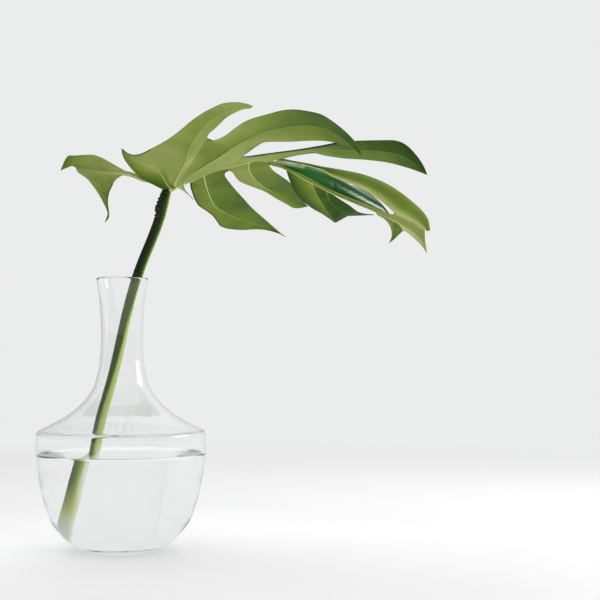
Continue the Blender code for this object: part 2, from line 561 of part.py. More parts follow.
def make_water(material):
    """The water fills the glass up to its level, with a plain hole for the petiole."""
    walls = [(max(r - GAP, 0.0), h + GAP * (h < FLOOR_ZONE)) for r, h in reversed(vase_inside())]
    below = [(r, h) for r, h in walls if h < WATER_LEVEL - LEVEL_MARGIN]
    above = walls[len(below)]
    share = (WATER_LEVEL - below[-1][1]) / (above[1] - below[-1][1])
    edge = below[-1][0] + (above[0] - below[-1][0]) * share
    profile = below + [(edge, WATER_LEVEL), (0.0, WATER_LEVEL)]
    water = make_object("water", *turn_profile(profile, VASE_SIDES), material, 30.0)

    clearance = GAP + HOLE_MARGIN
    rings = petiole_rings(clearance)[:HOLE_RINGS]
    foot, radius, along = rings[0]
    rings[0] = (foot - along * clearance, radius, along)
    hole = make_object("petiole_hole", *tube(rings, PETIOLE_SIDES), material, 30.0)
    hole.hide_render = True
    hole.display_type = "WIRE"
    cut = water.modifiers.new("petiole hole", "BOOLEAN")
    cut.operation = "DIFFERENCE"
    cut.object = hole
    return water


def make_leaf_blade(material):
    points, heights, faces = weld_sheet()
    triangles = split_faces(points, faces)
    return make_object("leaf_blade", *thicken(points, heights, triangles), material, 50.0)


def main():
    for old in list(bpy.data.objects):
        bpy.data.objects.remove(old)
    glass = make_material("clear_glass", (0.96, 0.98, 0.98), 0.02, 1.0)
    water = make_material("clear_water", (0.95, 0.98, 0.98), 0.01, 1.0)
    stalk = make_material("green_stalk", (0.10, 0.20, 0.03), 0.45)
    blade = make_material("green_blade", (0.19, 0.29, 0.06), 0.40)
    make_vase(glass)
    make_water(water)
    make_petiole(stalk)
    make_leaf_blade(blade)


main()
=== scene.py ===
import math
import bpy
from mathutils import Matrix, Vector, noise


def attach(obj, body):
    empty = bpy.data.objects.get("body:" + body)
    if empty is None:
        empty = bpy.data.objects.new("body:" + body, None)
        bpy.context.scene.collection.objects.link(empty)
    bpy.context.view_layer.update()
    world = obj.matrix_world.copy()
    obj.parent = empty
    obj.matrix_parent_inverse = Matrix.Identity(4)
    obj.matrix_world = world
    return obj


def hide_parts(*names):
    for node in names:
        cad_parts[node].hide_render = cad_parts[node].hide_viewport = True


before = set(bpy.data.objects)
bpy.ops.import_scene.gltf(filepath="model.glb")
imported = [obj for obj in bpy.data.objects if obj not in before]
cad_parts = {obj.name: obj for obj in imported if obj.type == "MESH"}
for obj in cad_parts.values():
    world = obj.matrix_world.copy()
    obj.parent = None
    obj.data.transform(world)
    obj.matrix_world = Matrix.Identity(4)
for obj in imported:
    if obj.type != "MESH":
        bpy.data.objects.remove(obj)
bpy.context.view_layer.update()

# A single monstera leaf in a round glass vase with water. Its pieces follow in the order in which
# they are put together: the vase, the water, the stalk and the blade. Before them come the camera,
# the surface that the vase stands on, and the light.

# The camera stands a little above the water's level and looks very slightly up. It is given as
# its eye, its focal length in pixels of a square picture, and its tilt above the horizon.
MM = 0.001
PICTURE_SIDE = 600
FOCAL_PIXELS = 1340
TILT = 2.14
EYE = Vector((157.6, -1187.0, 176.2))
FILM_WIDTH = 36.0

camera_data = bpy.data.cameras.new("camera")
camera_data.sensor_width = FILM_WIDTH
camera_data.lens = FOCAL_PIXELS / PICTURE_SIDE * FILM_WIDTH
camera = bpy.data.objects.new("camera", camera_data)
camera.location = EYE * MM
camera.rotation_euler = (math.radians(90 + TILT), 0, 0)
bpy.context.scene.collection.objects.link(camera)
bpy.context.scene.camera = camera
bpy.context.scene.view_settings.view_transform = "Standard"

# The surroundings: an even pale backdrop, and a matt white floor that fades into it far off. A
# lighter ring round the foot is painted light, which makes up for the light that the glass would throw
# there.
BACKDROP = (0.835, 0.838, 0.840, 1)
FLOOR_COLOUR = (0.77, 0.77, 0.775, 1)
FLOOR_PAINTED_LIGHT = (0.90, 0.90, 0.905, 1)
FLOOR_BOUNCE = (0.86, 0.86, 0.865, 1)
FLOOR_ROUGHNESS = 0.55
FLOOR_GLOSS = 0.25
NEAR_START, NEAR_END = 0.05, 0.35
FADE_START, FADE_END = 0.45, 1.6
FLOOR_RADIUS = 6.0
FLOOR_SIDES = 96


def fill(finish, node, inputs):
    """Sets inputs of a node. Each is a value, or the socket that it is linked to."""
    for socket, value in inputs.items():
        if isinstance(value, bpy.types.NodeSocket):
            finish.node_tree.links.new(value, node.inputs[socket])
        else:
            node.inputs[socket].default_value = value


def put(finish, kind, inputs=None, **settings):
    """Adds a node to a material or to the world."""
    made = finish.node_tree.nodes.new(kind)
    for name, value in settings.items():
        setattr(made, name, value)
    fill(finish, made, inputs or {})
    return made


def maths(finish, operation, *values):
    """The result of one sum on sockets or numbers."""
    return put(finish, "ShaderNodeMath", dict(enumerate(values)), operation=operation).outputs[0]


def remap(finish, value, start, end, low=0.0, high=1.0, kind="LINEAR"):
    """Turns a value between start and end into one between low and high."""
    return put(finish, "ShaderNodeMapRange", {"Value": value, "From Min": start, "From Max": end,
                                              "To Min": low, "To Max": high},
               interpolation_type=kind).outputs["Result"]


def mix_colours(finish, share, first, second, kind="MIX"):
    return put(finish, "ShaderNodeMix", {"Factor": share, "A": first, "B": second},
               data_type="RGBA", blend_type=kind).outputs["Result"]


def mix_shaders(finish, share, first, second):
    return put(finish, "ShaderNodeMixShader", {0: share, 1: first, 2: second}).outputs[0]


def start_finish(name):
    """A new material with its Principled shader."""
    finish = bpy.data.materials.new(name)
    finish.use_nodes = True
    return finish, finish.node_tree.nodes["Principled BSDF"]


def set_surface(finish, surface):
    fill(finish, finish.node_tree.nodes["Material Output"], {"Surface": surface})


def add_piece(name, points, faces, finishes, sharp=180.0):
    """A smooth-shaded mesh object from points in millimetres."""
    mesh = bpy.data.meshes.new(name)
    mesh.from_pydata([p * MM for p in points], [], faces)
    for finish in finishes:
        mesh.materials.append(finish)
    mesh.shade_smooth()
    if sharp < 180.0:
        mesh.set_sharp_from_angle(angle=math.radians(sharp))
    piece = bpy.data.objects.new(name, mesh)
    bpy.context.scene.collection.objects.link(piece)
    return piece


def ring_turns(sides):
    """Evenly spaced angles round a ring."""
    return [2 * math.pi * s / sides for s in range(sides)]


def floor_finish():
    """Matt white with a ring of painted light round the foot, that turns into the backdrop's own light
    between two distances from the vase.
    """
    finish, shader = start_finish("floor")
    place = put(finish, "ShaderNodeTexCoord").outputs["Object"]
    far = put(finish, "ShaderNodeVectorMath", {0: place}, operation="LENGTH").outputs["Value"]
    # Painted light: the floor is lighter in a ring round the foot
    near = remap(finish, far, NEAR_START, NEAR_END, 1.0, 0.0)
    tone = mix_colours(finish, near, FLOOR_COLOUR, FLOOR_PAINTED_LIGHT)
    bounced = put(finish, "ShaderNodeLightPath").outputs["Is Diffuse Ray"]
    fill(finish, shader, {"Base Color": mix_colours(finish, bounced, tone, FLOOR_BOUNCE),
                          "Roughness": FLOOR_ROUGHNESS, "Specular IOR Level": FLOOR_GLOSS})
    fade = remap(finish, far, FADE_START, FADE_END, kind="SMOOTHERSTEP")
    glow = put(finish, "ShaderNodeEmission", {"Color": BACKDROP, "Strength": 1.0}).outputs[0]
    set_surface(finish, mix_shaders(finish, fade, shader.outputs[0], glow))
    return finish


rim_points = [Vector((math.cos(turn), math.sin(turn), 0)) * FLOOR_RADIUS / MM
              for turn in ring_turns(FLOOR_SIDES)]
floor = add_piece("floor", rim_points, [list(range(FLOOR_SIDES))], [floor_finish()])

# The even light. The eye sees the backdrop, also through glass and water. Matt and shiny surfaces
# are lit by skies that are bright on one side. Each is that side's direction, from where to where
# the light grows towards it, and the least and the most light.
LIGHT_ON_MATT = (0.45, 0.25, 0.85), -0.6, 0.7, 0.12, 1.25
LIGHT_ON_SHINY = (0.55, 0.83, 0.05), 0.15, 0.85, 0.08, 1.0
# What the glass mirrors inside itself is dimmer than the backdrop seen straight through it
BACKDROP_MIRRORED = 0.92

world = bpy.data.worlds.new("backdrop")
bpy.context.scene.world = world
world.use_nodes = True


def sky(bright_side, start, end, dark, light):
    """A background that runs from dark to light towards one side."""
    view = put(world, "ShaderNodeTexCoord").outputs["Generated"]
    facing = put(world, "ShaderNodeVectorMath", {0: view, 1: bright_side}, operation="DOT_PRODUCT")
    share = remap(world, facing.outputs["Value"], start, end, dark, light, "SMOOTHSTEP")
    return put(world, "ShaderNodeBackground", {"Strength": share}).outputs[0]


path = put(world, "ShaderNodeLightPath").outputs
backdrop_shader = world.node_tree.nodes["Background"]
fill(world, backdrop_shader, {
    "Color": BACKDROP,
    "Strength": remap(world, path["Glossy Depth"], 0.0, 1.0, 1.0, BACKDROP_MIRRORED)})
lit = mix_shaders(world, path["Is Glossy Ray"], sky(*LIGHT_ON_MATT), sky(*LIGHT_ON_SHINY))
on_its_way = maths(world, "LESS_THAN", path["Diffuse Depth"], 0.5)
entered = maths(world, "GREATER_THAN", path["Transmission Depth"], 0.5)
through = maths(world, "MULTIPLY", entered, on_its_way)
seen = maths(world, "MAXIMUM", path["Is Camera Ray"], through)
fill(world, world.node_tree.nodes["World Output"],
     {"Surface": mix_shaders(world, seen, lit, backdrop_shader.outputs[0])})

# The lamps: a wide one on the right, a soft one above, and two small ones for the leaf's shine.
# Each is its place, the point that it faces, its width and height, its power, and whether it
# lights matt surfaces and shows as a highlight on shiny ones.
LIGHTS = {
    "right_lamp": ((1.15, 0.15, 0.54), (0.0, 0.0, 0.15), 0.62, 0.46, 4.5, True, True),
    "soft_top": ((0.25, 0.30, 1.35), (0.1, 0.0, 0.2), 1.2, 0.9, 6.5, True, False),
    "small_high_lamp": ((0.375, -0.02, 0.63), (0.22, 0.0, 0.31), 0.07, 0.07, 0.7, False, True),
    "soft_high_lamp": ((0.24, 0.62, 1.33), (0.142, 0.01, 0.345), 0.3, 0.3, 1.1, False, True),
}
LEAF_LIGHTS = ["small_high_lamp", "soft_high_lamp"]
for name, (place, aim, width, height, power, lights, shines) in LIGHTS.items():
    lamp = bpy.data.lights.new(name, "AREA")
    lamp.shape = "RECTANGLE"
    lamp.size = width
    lamp.size_y = height
    lamp.energy = power
    lamp_object = bpy.data.objects.new(name, lamp)
    lamp_object.location = place
    lamp_object.rotation_euler = (Vector(aim) - Vector(place)).to_track_quat("-Z", "Y").to_euler()
    lamp_object.visible_camera = False
    lamp_object.visible_transmission = False
    lamp_object.visible_diffuse = lights
    lamp_object.visible_glossy = shines
    bpy.context.scene.collection.objects.link(lamp_object)

# The vase: clear glass, blown in one piece, with a slim neck, a sloping shoulder that meets the bowl
# in a soft ridge, and a thick flat foot. It stands on its foot and holds everything else. Its
# outlines are (radius, height).
VASE_HEIGHT = 240.0
VASE_WALL = 2.5
VASE_BASE = 4.5
VASE_SIDES = 160
SHOULDER = (74.5, 105.2)
FOOT_RADIUS = 29.0
FOOT_EDGE = 1.2
NECK_OUTSIDE = [(22.7, VASE_HEIGHT - 1.6), (20.1, 220.5), (18.4, 189.5), (19.2, 168.3), (21.2, 155.9),
                (24.8, 143.5), (31.7, 132.8), (39.5, 124.9), (51.4, 116.5), (66.8, 108.2), SHOULDER]
BOWL_OUTSIDE = [SHOULDER, (74.4, 92.0), (73.1, 76.0), (70.1, 54.9), (62.0, 28.8), (54.8, 17.7),
                (46.4, 9.0), (38.2, 3.2), (FOOT_RADIUS, 0.0)]
NECK_STEPS, BOWL_STEPS = 120, 112
RIDGE_SOFTENING, RIDGE_REACH = 8, 5
FLOOR_RISE = 2.5
FLOOR_STEPS = 14
LIP_STEPS = 8
CURVE_STEPS = 16
GLASS_BEND = 1.45
GLASS_TINTS = [(0.0, (0.985, 0.990, 0.989)), (1.0, (0.995, 0.998, 0.998))]
GLASS_SHADE = (0.985, 0.988, 0.988, 1)


def curve_through(stops, steps):
    """A smooth curve through all stops, with this many steps for each span."""
    ends = [2 * stops[0] - stops[1]] + stops + [2 * stops[-1] - stops[-2]]
    line = [stops[0]]
    for before, start, end, after in zip(ends, ends[1:], ends[2:], ends[3:]):
        for i in range(1, steps + 1):
            t = i / steps
            line.append(0.5 * (2 * start + (end - before) * t
                               + (2 * before - 5 * start + 4 * end - after) * t ** 2
                               + (3 * start - before - 3 * end + after) * t ** 3))
    return line


def reach_along(line):
    """How far each point of a line lies from its start, measured along it."""
    reach = [0.0]
    for a, b in zip(line, line[1:]):
        reach.append(reach[-1] + (b - a).length)
    return reach


def smooth_line(points, steps):
    """Reads steps + 1 evenly spaced points off a smooth curve through the given ones."""
    fine = curve_through([Vector(p) for p in points], CURVE_STEPS)
    reach = reach_along(fine)
    line, k = [], 0
    for i in range(steps + 1):
        goal = reach[-1] * i / steps
        while k < len(fine) - 2 and reach[k + 1] < goal:
            k += 1
        span = max(reach[k + 1] - reach[k], 1e-9)
        line.append(fine[k].lerp(fine[k + 1], (goal - reach[k]) / span))
    return line


def band(low, high):
    """The faces between two rings of vertex numbers."""
    turned = zip(low, low[1:] + low[:1], high[1:] + high[:1], high)
    return [list(face) for face in turned]


def turn_profile(profile, sides):
    """Spins a profile of (radius, height) about +Z. It starts and ends on the axis, and runs up
    the outside first, so that the faces point out."""
    points, rings = [], []
    for radius, height in profile:
        if radius < 1e-6:
            rings.append([len(points)] * sides)
            points.append(Vector((0, 0, height)))
            continue
        rings.append(list(range(len(points), len(points) + sides)))
        points += [Vector((radius * math.cos(turn), radius * math.sin(turn), height))
                   for turn in ring_turns(sides)]
    faces = []
    for low, high in zip(rings, rings[1:]):
        for face in band(low, high):
            corners = [v for i, v in enumerate(face) if v != face[i - 1]]
            if len(corners) > 2:
                faces.append(corners)
    return points, faces


def vase_outline():
    """The outside from the foot up to just under the rim, as (radius, height)."""
    bowl = smooth_line([(r, h, 0) for r, h in reversed(BOWL_OUTSIDE)], BOWL_STEPS)
    neck = smooth_line([(r, h, 0) for r, h in reversed(NECK_OUTSIDE)], NECK_STEPS)
    line = bowl + neck[1:]
    for _ in range(RIDGE_SOFTENING):
        line = [p if abs(i - BOWL_STEPS) > RIDGE_REACH else (line[i - 1] + p * 2 + line[i + 1]) / 4
                for i, p in enumerate(line)]
    return [(p.x, p.y) for p in line]


def moved_aside(outline, distance):
    """The outline moved to its left, which is inwards where it runs upwards."""
    moved = []
    for i, (radius, height) in enumerate(outline):
        before, after = outline[max(i - 1, 0)], outline[min(i + 1, len(outline) - 1)]
        run, rise = after[0] - before[0], after[1] - before[1]
        length = math.hypot(run, rise)
        moved.append((radius - distance * rise / length, height + distance * run / length))
    return moved


def vase_inside():
    """The inside from the rim down to the middle of the bowl's floor."""
    walls = [(r, h) for r, h in moved_aside(vase_outline(), VASE_WALL) if h > VASE_BASE + FLOOR_RISE]
    edge_radius, edge_height = walls[0]
    floor_line = []
    for i in range(FLOOR_STEPS + 1):
        turn = math.radians(90 * i / (FLOOR_STEPS + 1))
        floor_line.append((edge_radius * math.sin(turn),
                           edge_height - (edge_height - VASE_BASE) * math.cos(turn)))
    return list(reversed(floor_line + walls))


def vase_profile():
    """The whole section, with a round lip and a foot that is hollowed a little."""
    outside = vase_outline()
    inside = vase_inside()
    outer, inner = outside[-1], inside[0]
    middle = ((outer[0] + inner[0]) / 2, (outer[1] + inner[1]) / 2)
    half = (outer[0] - inner[0]) / 2
    rise = VASE_HEIGHT - middle[1]
    turns = [math.pi * i / LIP_STEPS for i in range(1, LIP_STEPS)]
    lip = [(middle[0] + half * math.cos(turn), middle[1] + rise * math.sin(turn)) for turn in turns]
    hollow = [(0.0, 0.8), (FOOT_RADIUS * 0.5, 0.7), (FOOT_RADIUS * 0.8, 0.35),
              (FOOT_RADIUS - FOOT_EDGE, 0.0)]
    return hollow + outside + lip + inside


def soft_noise(finish, place, scale, detail):
    """A noise between 0 and 1."""
    return put(finish, "ShaderNodeTexNoise",
               {"Vector": place, "Scale": scale, "Detail": detail}).outputs["Fac"]


def tone_ramp(finish, share, stops):
    """A colour that runs through the stops, each a share and a colour."""
    ramp = put(finish, "ShaderNodeValToRGB", {"Fac": share})
    elements = ramp.color_ramp.elements
    for element, (position, colour) in zip(elements, (stops[0], stops[-1])):
        element.position = position
        element.color = (*colour, 1)
    for position, colour in stops[1:-1]:
        elements.new(position).color = (*colour, 1)
    return ramp.outputs["Color"]


def add_relief(finish, shader, height, strength, distance):
    bump = put(finish, "ShaderNodeBump", {"Height": height, "Strength": strength, "Distance": distance})
    fill(finish, shader, {"Normal": bump.outputs["Normal"]})


def clear_finish(name, bend, tints, tint_scale, tint_detail, shade):
    """A clear body that bends light and has the faintest tint. Lamps shine through it with a light
    shade, so that what is inside is lit."""
    finish, shader = start_finish(name)
    place = put(finish, "ShaderNodeTexCoord").outputs["Object"]
    tint = tone_ramp(finish, soft_noise(finish, place, tint_scale, tint_detail), tints)
    fill(finish, shader, {"Base Color": tint, "Transmission Weight": 1.0, "Roughness": 0.0, "IOR": bend})
    shadow_ray = put(finish, "ShaderNodeLightPath").outputs["Is Shadow Ray"]
    clear = put(finish, "ShaderNodeBsdfTransparent", {"Color": shade}).outputs[0]
    set_surface(finish, mix_shaders(finish, shadow_ray, shader.outputs[0], clear))
    return finish, shader, place


def glass_finish():
    """Clear glass with the slow waviness of blown work."""
    finish, shader, place = clear_finish("clear_glass", GLASS_BEND, GLASS_TINTS, 22.0, 2.0, GLASS_SHADE)
    add_relief(finish, shader, soft_noise(finish, place, 30.0, 1.0), 0.08, 0.0005)
    return finish


vase = add_piece("glass_vase", *turn_profile(vase_profile(), VASE_SIDES), [glass_finish()])
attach(vase, "root")
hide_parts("vase")

# The water: still and clear, poured into the bowl to a little under the shoulder. It climbs the
# glass and the stalk in a small meniscus. Its mesh reaches a hair into the glass and the stalk, so
# that no air shows between.
WATER_LEVEL = 84.0
WATER_INTO_GLASS = 0.35
MENISCUS_HEIGHT, MENISCUS_WIDTH = 1.7, 3.2
MENISCUS_FALL = 2.2
MENISCUS_ON_STALK = 0.7
WALL_GAP = 0.8
WATER_RINGS = 26
RINGS_CLOSER = 1.35
HOLE_RINGS_BELOW = 7
WATER_SIDES = 160
HOLE_INSET = 0.25
WATER_BEND = 1.333
WATER_TINTS = [(0.0, (0.975, 0.98, 0.98)), (1.0, (0.99, 0.995, 0.995))]
WATER_SHADE = (0.99, 0.993, 0.993, 1)
# The water closes round the stalk, whose line is points (across, up, depth), as the blade's are
PETIOLE_LINE = [(-38.5, 15.5, 8), (-34.5, 31, 8), (-24.6, 81.5, 8), (-18.2, 114.3, 8), (-6.2, 161, 8),
                (4.4, 208.5, 8), (12.1, 237.3, 8), (18.6, 256, 8), (25.7, 273.5, 8), (32.1, 291, 8),
                (34.7, 303.5, 8), (38.6, 316.2, 8)]
PETIOLE_LINE_STEPS = 400
PETIOLE_RADIUS_FOOT = 5.0
PETIOLE_RADIUS_TOP = 4.5
PETIOLE_SPANS = 110
JOINT_LENGTH = 26.0
JOINT_SWELL = 1.2
JOINT_SWELL_SHARE = 0.95
JOINT_SPANS = 108


def seen_from_front(point):
    """Slides a guide point (across, up, depth) along its sight line from EYE to its depth."""
    across, up, depth = point
    stretch = 1.0 - depth / EYE.y
    return Vector((EYE.x + (across - EYE.x) * stretch, depth, EYE.z + (up - EYE.z) * stretch))


def petiole_rings():
    """Centre, radius, direction, how far into the joint and share of the whole length, by ring."""
    centres = smooth_line([seen_from_front(p) for p in PETIOLE_LINE], PETIOLE_LINE_STEPS)
    plain_end = 1.0 - JOINT_LENGTH / reach_along(centres)[-1]
    shares = [plain_end * i / PETIOLE_SPANS for i in range(PETIOLE_SPANS + 1)]
    shares += [plain_end + (1 - plain_end) * i / JOINT_SPANS for i in range(1, JOINT_SPANS + 1)]
    rings = []
    for share in shares:
        spot = share * (len(centres) - 1)
        k = min(int(spot), len(centres) - 2)
        centre = centres[k].lerp(centres[k + 1], spot - k)
        radius = PETIOLE_RADIUS_FOOT + (PETIOLE_RADIUS_TOP - PETIOLE_RADIUS_FOOT) * share
        into = max(0.0, (share - plain_end) / (1 - plain_end))
        radius += JOINT_SWELL * math.sin(math.pi * min(1.0, into / JOINT_SWELL_SHARE))
        rings.append((centre, radius, (centres[k + 1] - centres[k]).normalized(), into, share))
    return rings


def across_ring(along):
    """Two directions across a ring: to its side, and up and away from the lean."""
    side = along.cross(Vector((0, 1, 0))).normalized()
    return side, side.cross(along).normalized()


def radius_at(walls, height):
    """The radius of a line of (radius, height) at this height."""
    for (r0, h0), (r1, h1) in zip(walls, walls[1:]):
        if h0 <= height <= h1:
            return r0 + (r1 - r0) * (height - h0) / (h1 - h0)
    return walls[-1][0]


def water_walls():
    """The bowl's inside up to the water's edge, a hair larger, from the middle of its floor."""
    inside = vase_inside()[::-1]
    walls = [(radius if inside[i][0] > 1e-6 else 0.0, height)
             for i, (radius, height) in enumerate(moved_aside(inside, -WATER_INTO_GLASS))]
    edge = WATER_LEVEL + MENISCUS_HEIGHT
    return [(r, h) for r, h in walls if h < edge - WALL_GAP] + [(radius_at(walls, edge), edge)]


def make_water():
    """The turned bowl of water, its surface, and the hole that the stalk fills."""
    points, faces = turn_profile(water_walls(), WATER_SIDES)
    stalk_rings = petiole_rings()
    centre, radius, along, _, _ = min(stalk_rings, key=lambda ring: abs(ring[0].z - WATER_LEVEL))
    centre = centre + along * (WATER_LEVEL - centre.z) / along.z
    lean = Vector((along.x, along.y, 0)) / along.z
    outer = [p.copy() for p in points[-WATER_SIDES:]]
    starts = []
    for turn in ring_turns(WATER_SIDES):
        flat = Vector((math.cos(turn), math.sin(turn), 0)) * (radius - HOLE_INSET)
        start = centre + flat + lean * flat.dot(lean) * 0.5
        starts.append(Vector((start.x, start.y, WATER_LEVEL)))
    rings = []
    for i in range(1, WATER_RINGS + 1):
        inwards = 1 - (1 - i / WATER_RINGS) ** RINGS_CLOSER
        ring = []
        for edge, start in zip(outer, starts):
            spot = edge.lerp(start, inwards)
            from_glass = (edge.xy - spot.xy).length
            from_stalk = (start.xy - spot.xy).length
            climb = math.exp(-from_glass / MENISCUS_WIDTH * MENISCUS_FALL)
            climb += MENISCUS_ON_STALK * math.exp(-from_stalk / MENISCUS_WIDTH * MENISCUS_FALL)
            ring.append(Vector((spot.x, spot.y, WATER_LEVEL + MENISCUS_HEIGHT * climb)))
        rings.append(ring)
    wet = [ring for ring in stalk_rings if ring[0].z < WATER_LEVEL - HOLE_RINGS_BELOW]
    for centre, radius, along, _, _ in reversed(wet):
        side, up = across_ring(along)
        rings.append([centre + (side * -math.cos(turn) + up * math.sin(turn)) * (radius - HOLE_INSET)
                      for turn in ring_turns(WATER_SIDES)])
    last = list(range(len(points) - WATER_SIDES, len(points)))
    for ring in rings:
        new = list(range(len(points), len(points) + WATER_SIDES))
        points += ring
        faces += band(last, new)
        last = new
    faces.append(last)
    return points, faces


water_finish, _, _ = clear_finish("clear_water", WATER_BEND, WATER_TINTS, 12.0, 1.0, WATER_SHADE)
water = add_piece("water", *make_water(), [water_finish], 35.0)
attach(water, "root")
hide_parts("water")

# The stalk: one stiff green petiole, round and waxy, with a swollen, wrinkled joint at its top. It
# was cut square at its foot, stands in the bowl and leans through the neck, and is grown onto the
# blade at its top.
PETIOLE_SIDES = 48
RIDGE_DEPTH, WAVER_DEPTH = 0.05, 0.12
JOINT_WRINKLES = 5.5
WRINKLE_DEPTH = 0.9
# The rounded top, as shares of the radius and how far each lies beyond the end
PETIOLE_CAP = [(0.98, 0.6), (0.86, 1.5), (0.62, 2.3), (0.3, 2.8)]
# Where round the stalk the side with painted light is; the far side gets painted shade. A tone is a share
# of the way to it, and a colour.
LIT_SIDE = 0.79
STALK_LIT_AND_SHADED_TONES = [(0.0, (0.020, 0.032, 0.010)), (0.3, (0.024, 0.055, 0.007)), (0.6, (0.05, 0.115, 0.007)),
               (0.85, (0.27, 0.39, 0.04)), (1.0, (0.64, 0.76, 0.23))]
# Under water the lit side is painted paler still, up to near white
WET_LIT_AND_SHADED_TONES = [(0.0, (0.07, 0.16, 0.008)), (0.25, (0.15, 0.30, 0.008)), (0.55, (0.32, 0.50, 0.02)),
             (0.8, (0.62, 0.74, 0.2)), (1.0, (0.93, 0.95, 0.75))]
INNER_GREEN = (0.065, 0.115, 0.010, 1)
YELLOWED = (0.74, 0.84, 0.22, 1)
BLEACHED = (0.95, 0.96, 0.86, 1)
STALK_ROUGHNESS = 0.42
STALK_GLOSS = 0.2
STREAK_STRETCH = (34, 7, 1)
STREAK_STRENGTH = 0.7
SPECKLE_SCALE = 900.0
# From where to where each change takes place, as shares of the stalk's length, which falls
PALER_DOWN, PALER_BY = (0.76, 0.36), 1.15
DARKER_IN_WATER, DARKER_BY = (0.25, 0.22), -0.35
GREEN_BELOW = (0.76, 0.70)
WET_BELOW = (0.27, 0.22)
YELLOW_BELOW, YELLOW_MOST = (0.17, 0.07), 0.8
BLEACHED_BELOW = (0.10, 0.035)


def tube(rings, sides, shape):
    """A closed tube with flat ends. shape gives the radius from the ring and the turn, where 0 is
    the side turned up and away from the lean."""
    points, faces = [], []
    for ring in rings:
        side, up = across_ring(ring[2])
        points += [ring[0] + (up * math.cos(turn) + side * math.sin(turn)) * shape(ring, turn)
                   for turn in ring_turns(sides)]
    numbers = [list(range(r * sides, (r + 1) * sides)) for r in range(len(rings))]
    for low, high in zip(numbers, numbers[1:]):
        faces += band(low, high)
    faces.append(numbers[0][::-1])
    faces.append(numbers[-1])
    return points, faces


def petiole_radius(ring, turn):
    """Round, with fine lengthwise ridges, and in the joint uneven wrinkles, deepest on the left."""
    centre, radius, _, into, share = ring
    around = Vector((math.cos(turn), math.sin(turn), 0))
    ridges = RIDGE_DEPTH * math.sin(9 * turn + 2.0 * noise.noise(Vector((turn, share * 9, 0))))
    waver = WAVER_DEPTH * noise.noise(Vector((around.x, around.y, centre.z * 0.05)))
    if into == 0.0:
        return radius + ridges + waver
    bend = noise.noise(around * 0.9 + Vector((0, 0, into * 3.0)))
    fold = 0.5 - 0.5 * math.cos(2 * math.pi * (JOINT_WRINKLES * into + 0.9 * bend))
    depth = WRINKLE_DEPTH * min(1.0, into * 6) * (0.75 + 0.5 * math.sin(turn))
    uneven = 1.0 + 0.9 * noise.noise(around * 1.3 + Vector((7, 0, into * 9.0)))
    rough = 0.35 * noise.noise(around * 3 + Vector((0, 3, into * 14)))
    return radius + ridges + waver - fold ** 1.5 * depth * uneven - 0.5 * abs(rough)


def read_map(finish, name):
    """The two values that a map of the mesh holds, and both as one vector."""
    flat = put(finish, "ShaderNodeUVMap", uv_map=name).outputs[0]
    values = put(finish, "ShaderNodeSeparateXYZ", {0: flat}).outputs
    return values["X"], values["Y"], flat


def stalk_finish():
    """Waxy green with painted shade on one side and painted light in yellow-green on the other, with fine
    streaks along it. It pales towards the cut end, which has stood in water."""
    finish, shader = start_finish("green_stalk")
    around, length, both = read_map(finish, "sides")
    stretch = put(finish, "ShaderNodeMapping", {"Vector": both, "Scale": STREAK_STRETCH}).outputs[0]
    streaks = soft_noise(finish, stretch, 1.0, 3.0)
    # Painted light and shade: the tone rises round the stalk towards its lit side, added to its streaks
    turn = maths(finish, "MULTIPLY", maths(finish, "SUBTRACT", around, LIT_SIDE), 2 * math.pi)
    streaks_and_light = maths(finish, "MULTIPLY_ADD", streaks, STREAK_STRENGTH, maths(finish, "COSINE", turn))
    lower = remap(finish, length, *PALER_DOWN, high=PALER_BY)
    under_water = remap(finish, length, *DARKER_IN_WATER, high=DARKER_BY)
    shifted = maths(finish, "ADD", streaks_and_light, maths(finish, "ADD", lower, under_water))
    light_and_shade_tone = remap(finish, shifted, 0.3, 1.35)
    green = tone_ramp(finish, light_and_shade_tone, STALK_LIT_AND_SHADED_TONES)
    colour = mix_colours(finish, remap(finish, length, *GREEN_BELOW), green, INNER_GREEN, "LIGHTEN")
    wet = remap(finish, length, *WET_BELOW, kind="SMOOTHSTEP")
    colour = mix_colours(finish, wet, colour, tone_ramp(finish, light_and_shade_tone, WET_LIT_AND_SHADED_TONES))
    yellowing = remap(finish, length, *YELLOW_BELOW, high=YELLOW_MOST, kind="SMOOTHSTEP")
    colour = mix_colours(finish, yellowing, colour, YELLOWED)
    bleaching = remap(finish, length, *BLEACHED_BELOW, kind="SMOOTHSTEP")
    colour = mix_colours(finish, bleaching, colour, BLEACHED)
    fill(finish, shader, {"Base Color": colour, "Roughness": STALK_ROUGHNESS,
                          "Specular IOR Level": remap(finish, wet, 0.0, 1.0, STALK_GLOSS, 0.0)})
    place = put(finish, "ShaderNodeTexCoord").outputs["Object"]
    add_relief(finish, shader, soft_noise(finish, place, SPECKLE_SCALE, 2.0), 0.25, 0.0003)
    return finish


def make_stalk():
    """The tube with its rounded top, which is sunk into the underside of the blade. Its map holds
    the side of the stalk, 0 to 1 round it, and the share of the length."""
    rings = petiole_rings()
    end, end_radius, along, _, share = rings[-1]
    rings += [(end + along * rise, end_radius * part, along, 0.0, share) for part, rise in PETIOLE_CAP]
    points, faces = tube(rings, PETIOLE_SIDES, petiole_radius)
    piece = add_piece("petiole", points, faces, [stalk_finish()], 60.0)
    values = []
    for face in faces:
        turns = [v % PETIOLE_SIDES for v in face]
        wraps = max(turns) - min(turns) > PETIOLE_SIDES / 2 and len(face) == 4
        for v, turn in zip(face, turns):
            turn += PETIOLE_SIDES if wraps and turn < PETIOLE_SIDES / 2 else 0
            values += [turn / PETIOLE_SIDES, rings[v // PETIOLE_SIDES][4]]
    piece.data.uv_layers.new(name="sides").data.foreach_set("uv", values)
    return piece


stalk = make_stalk()
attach(stalk, "root")
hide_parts("petiole")

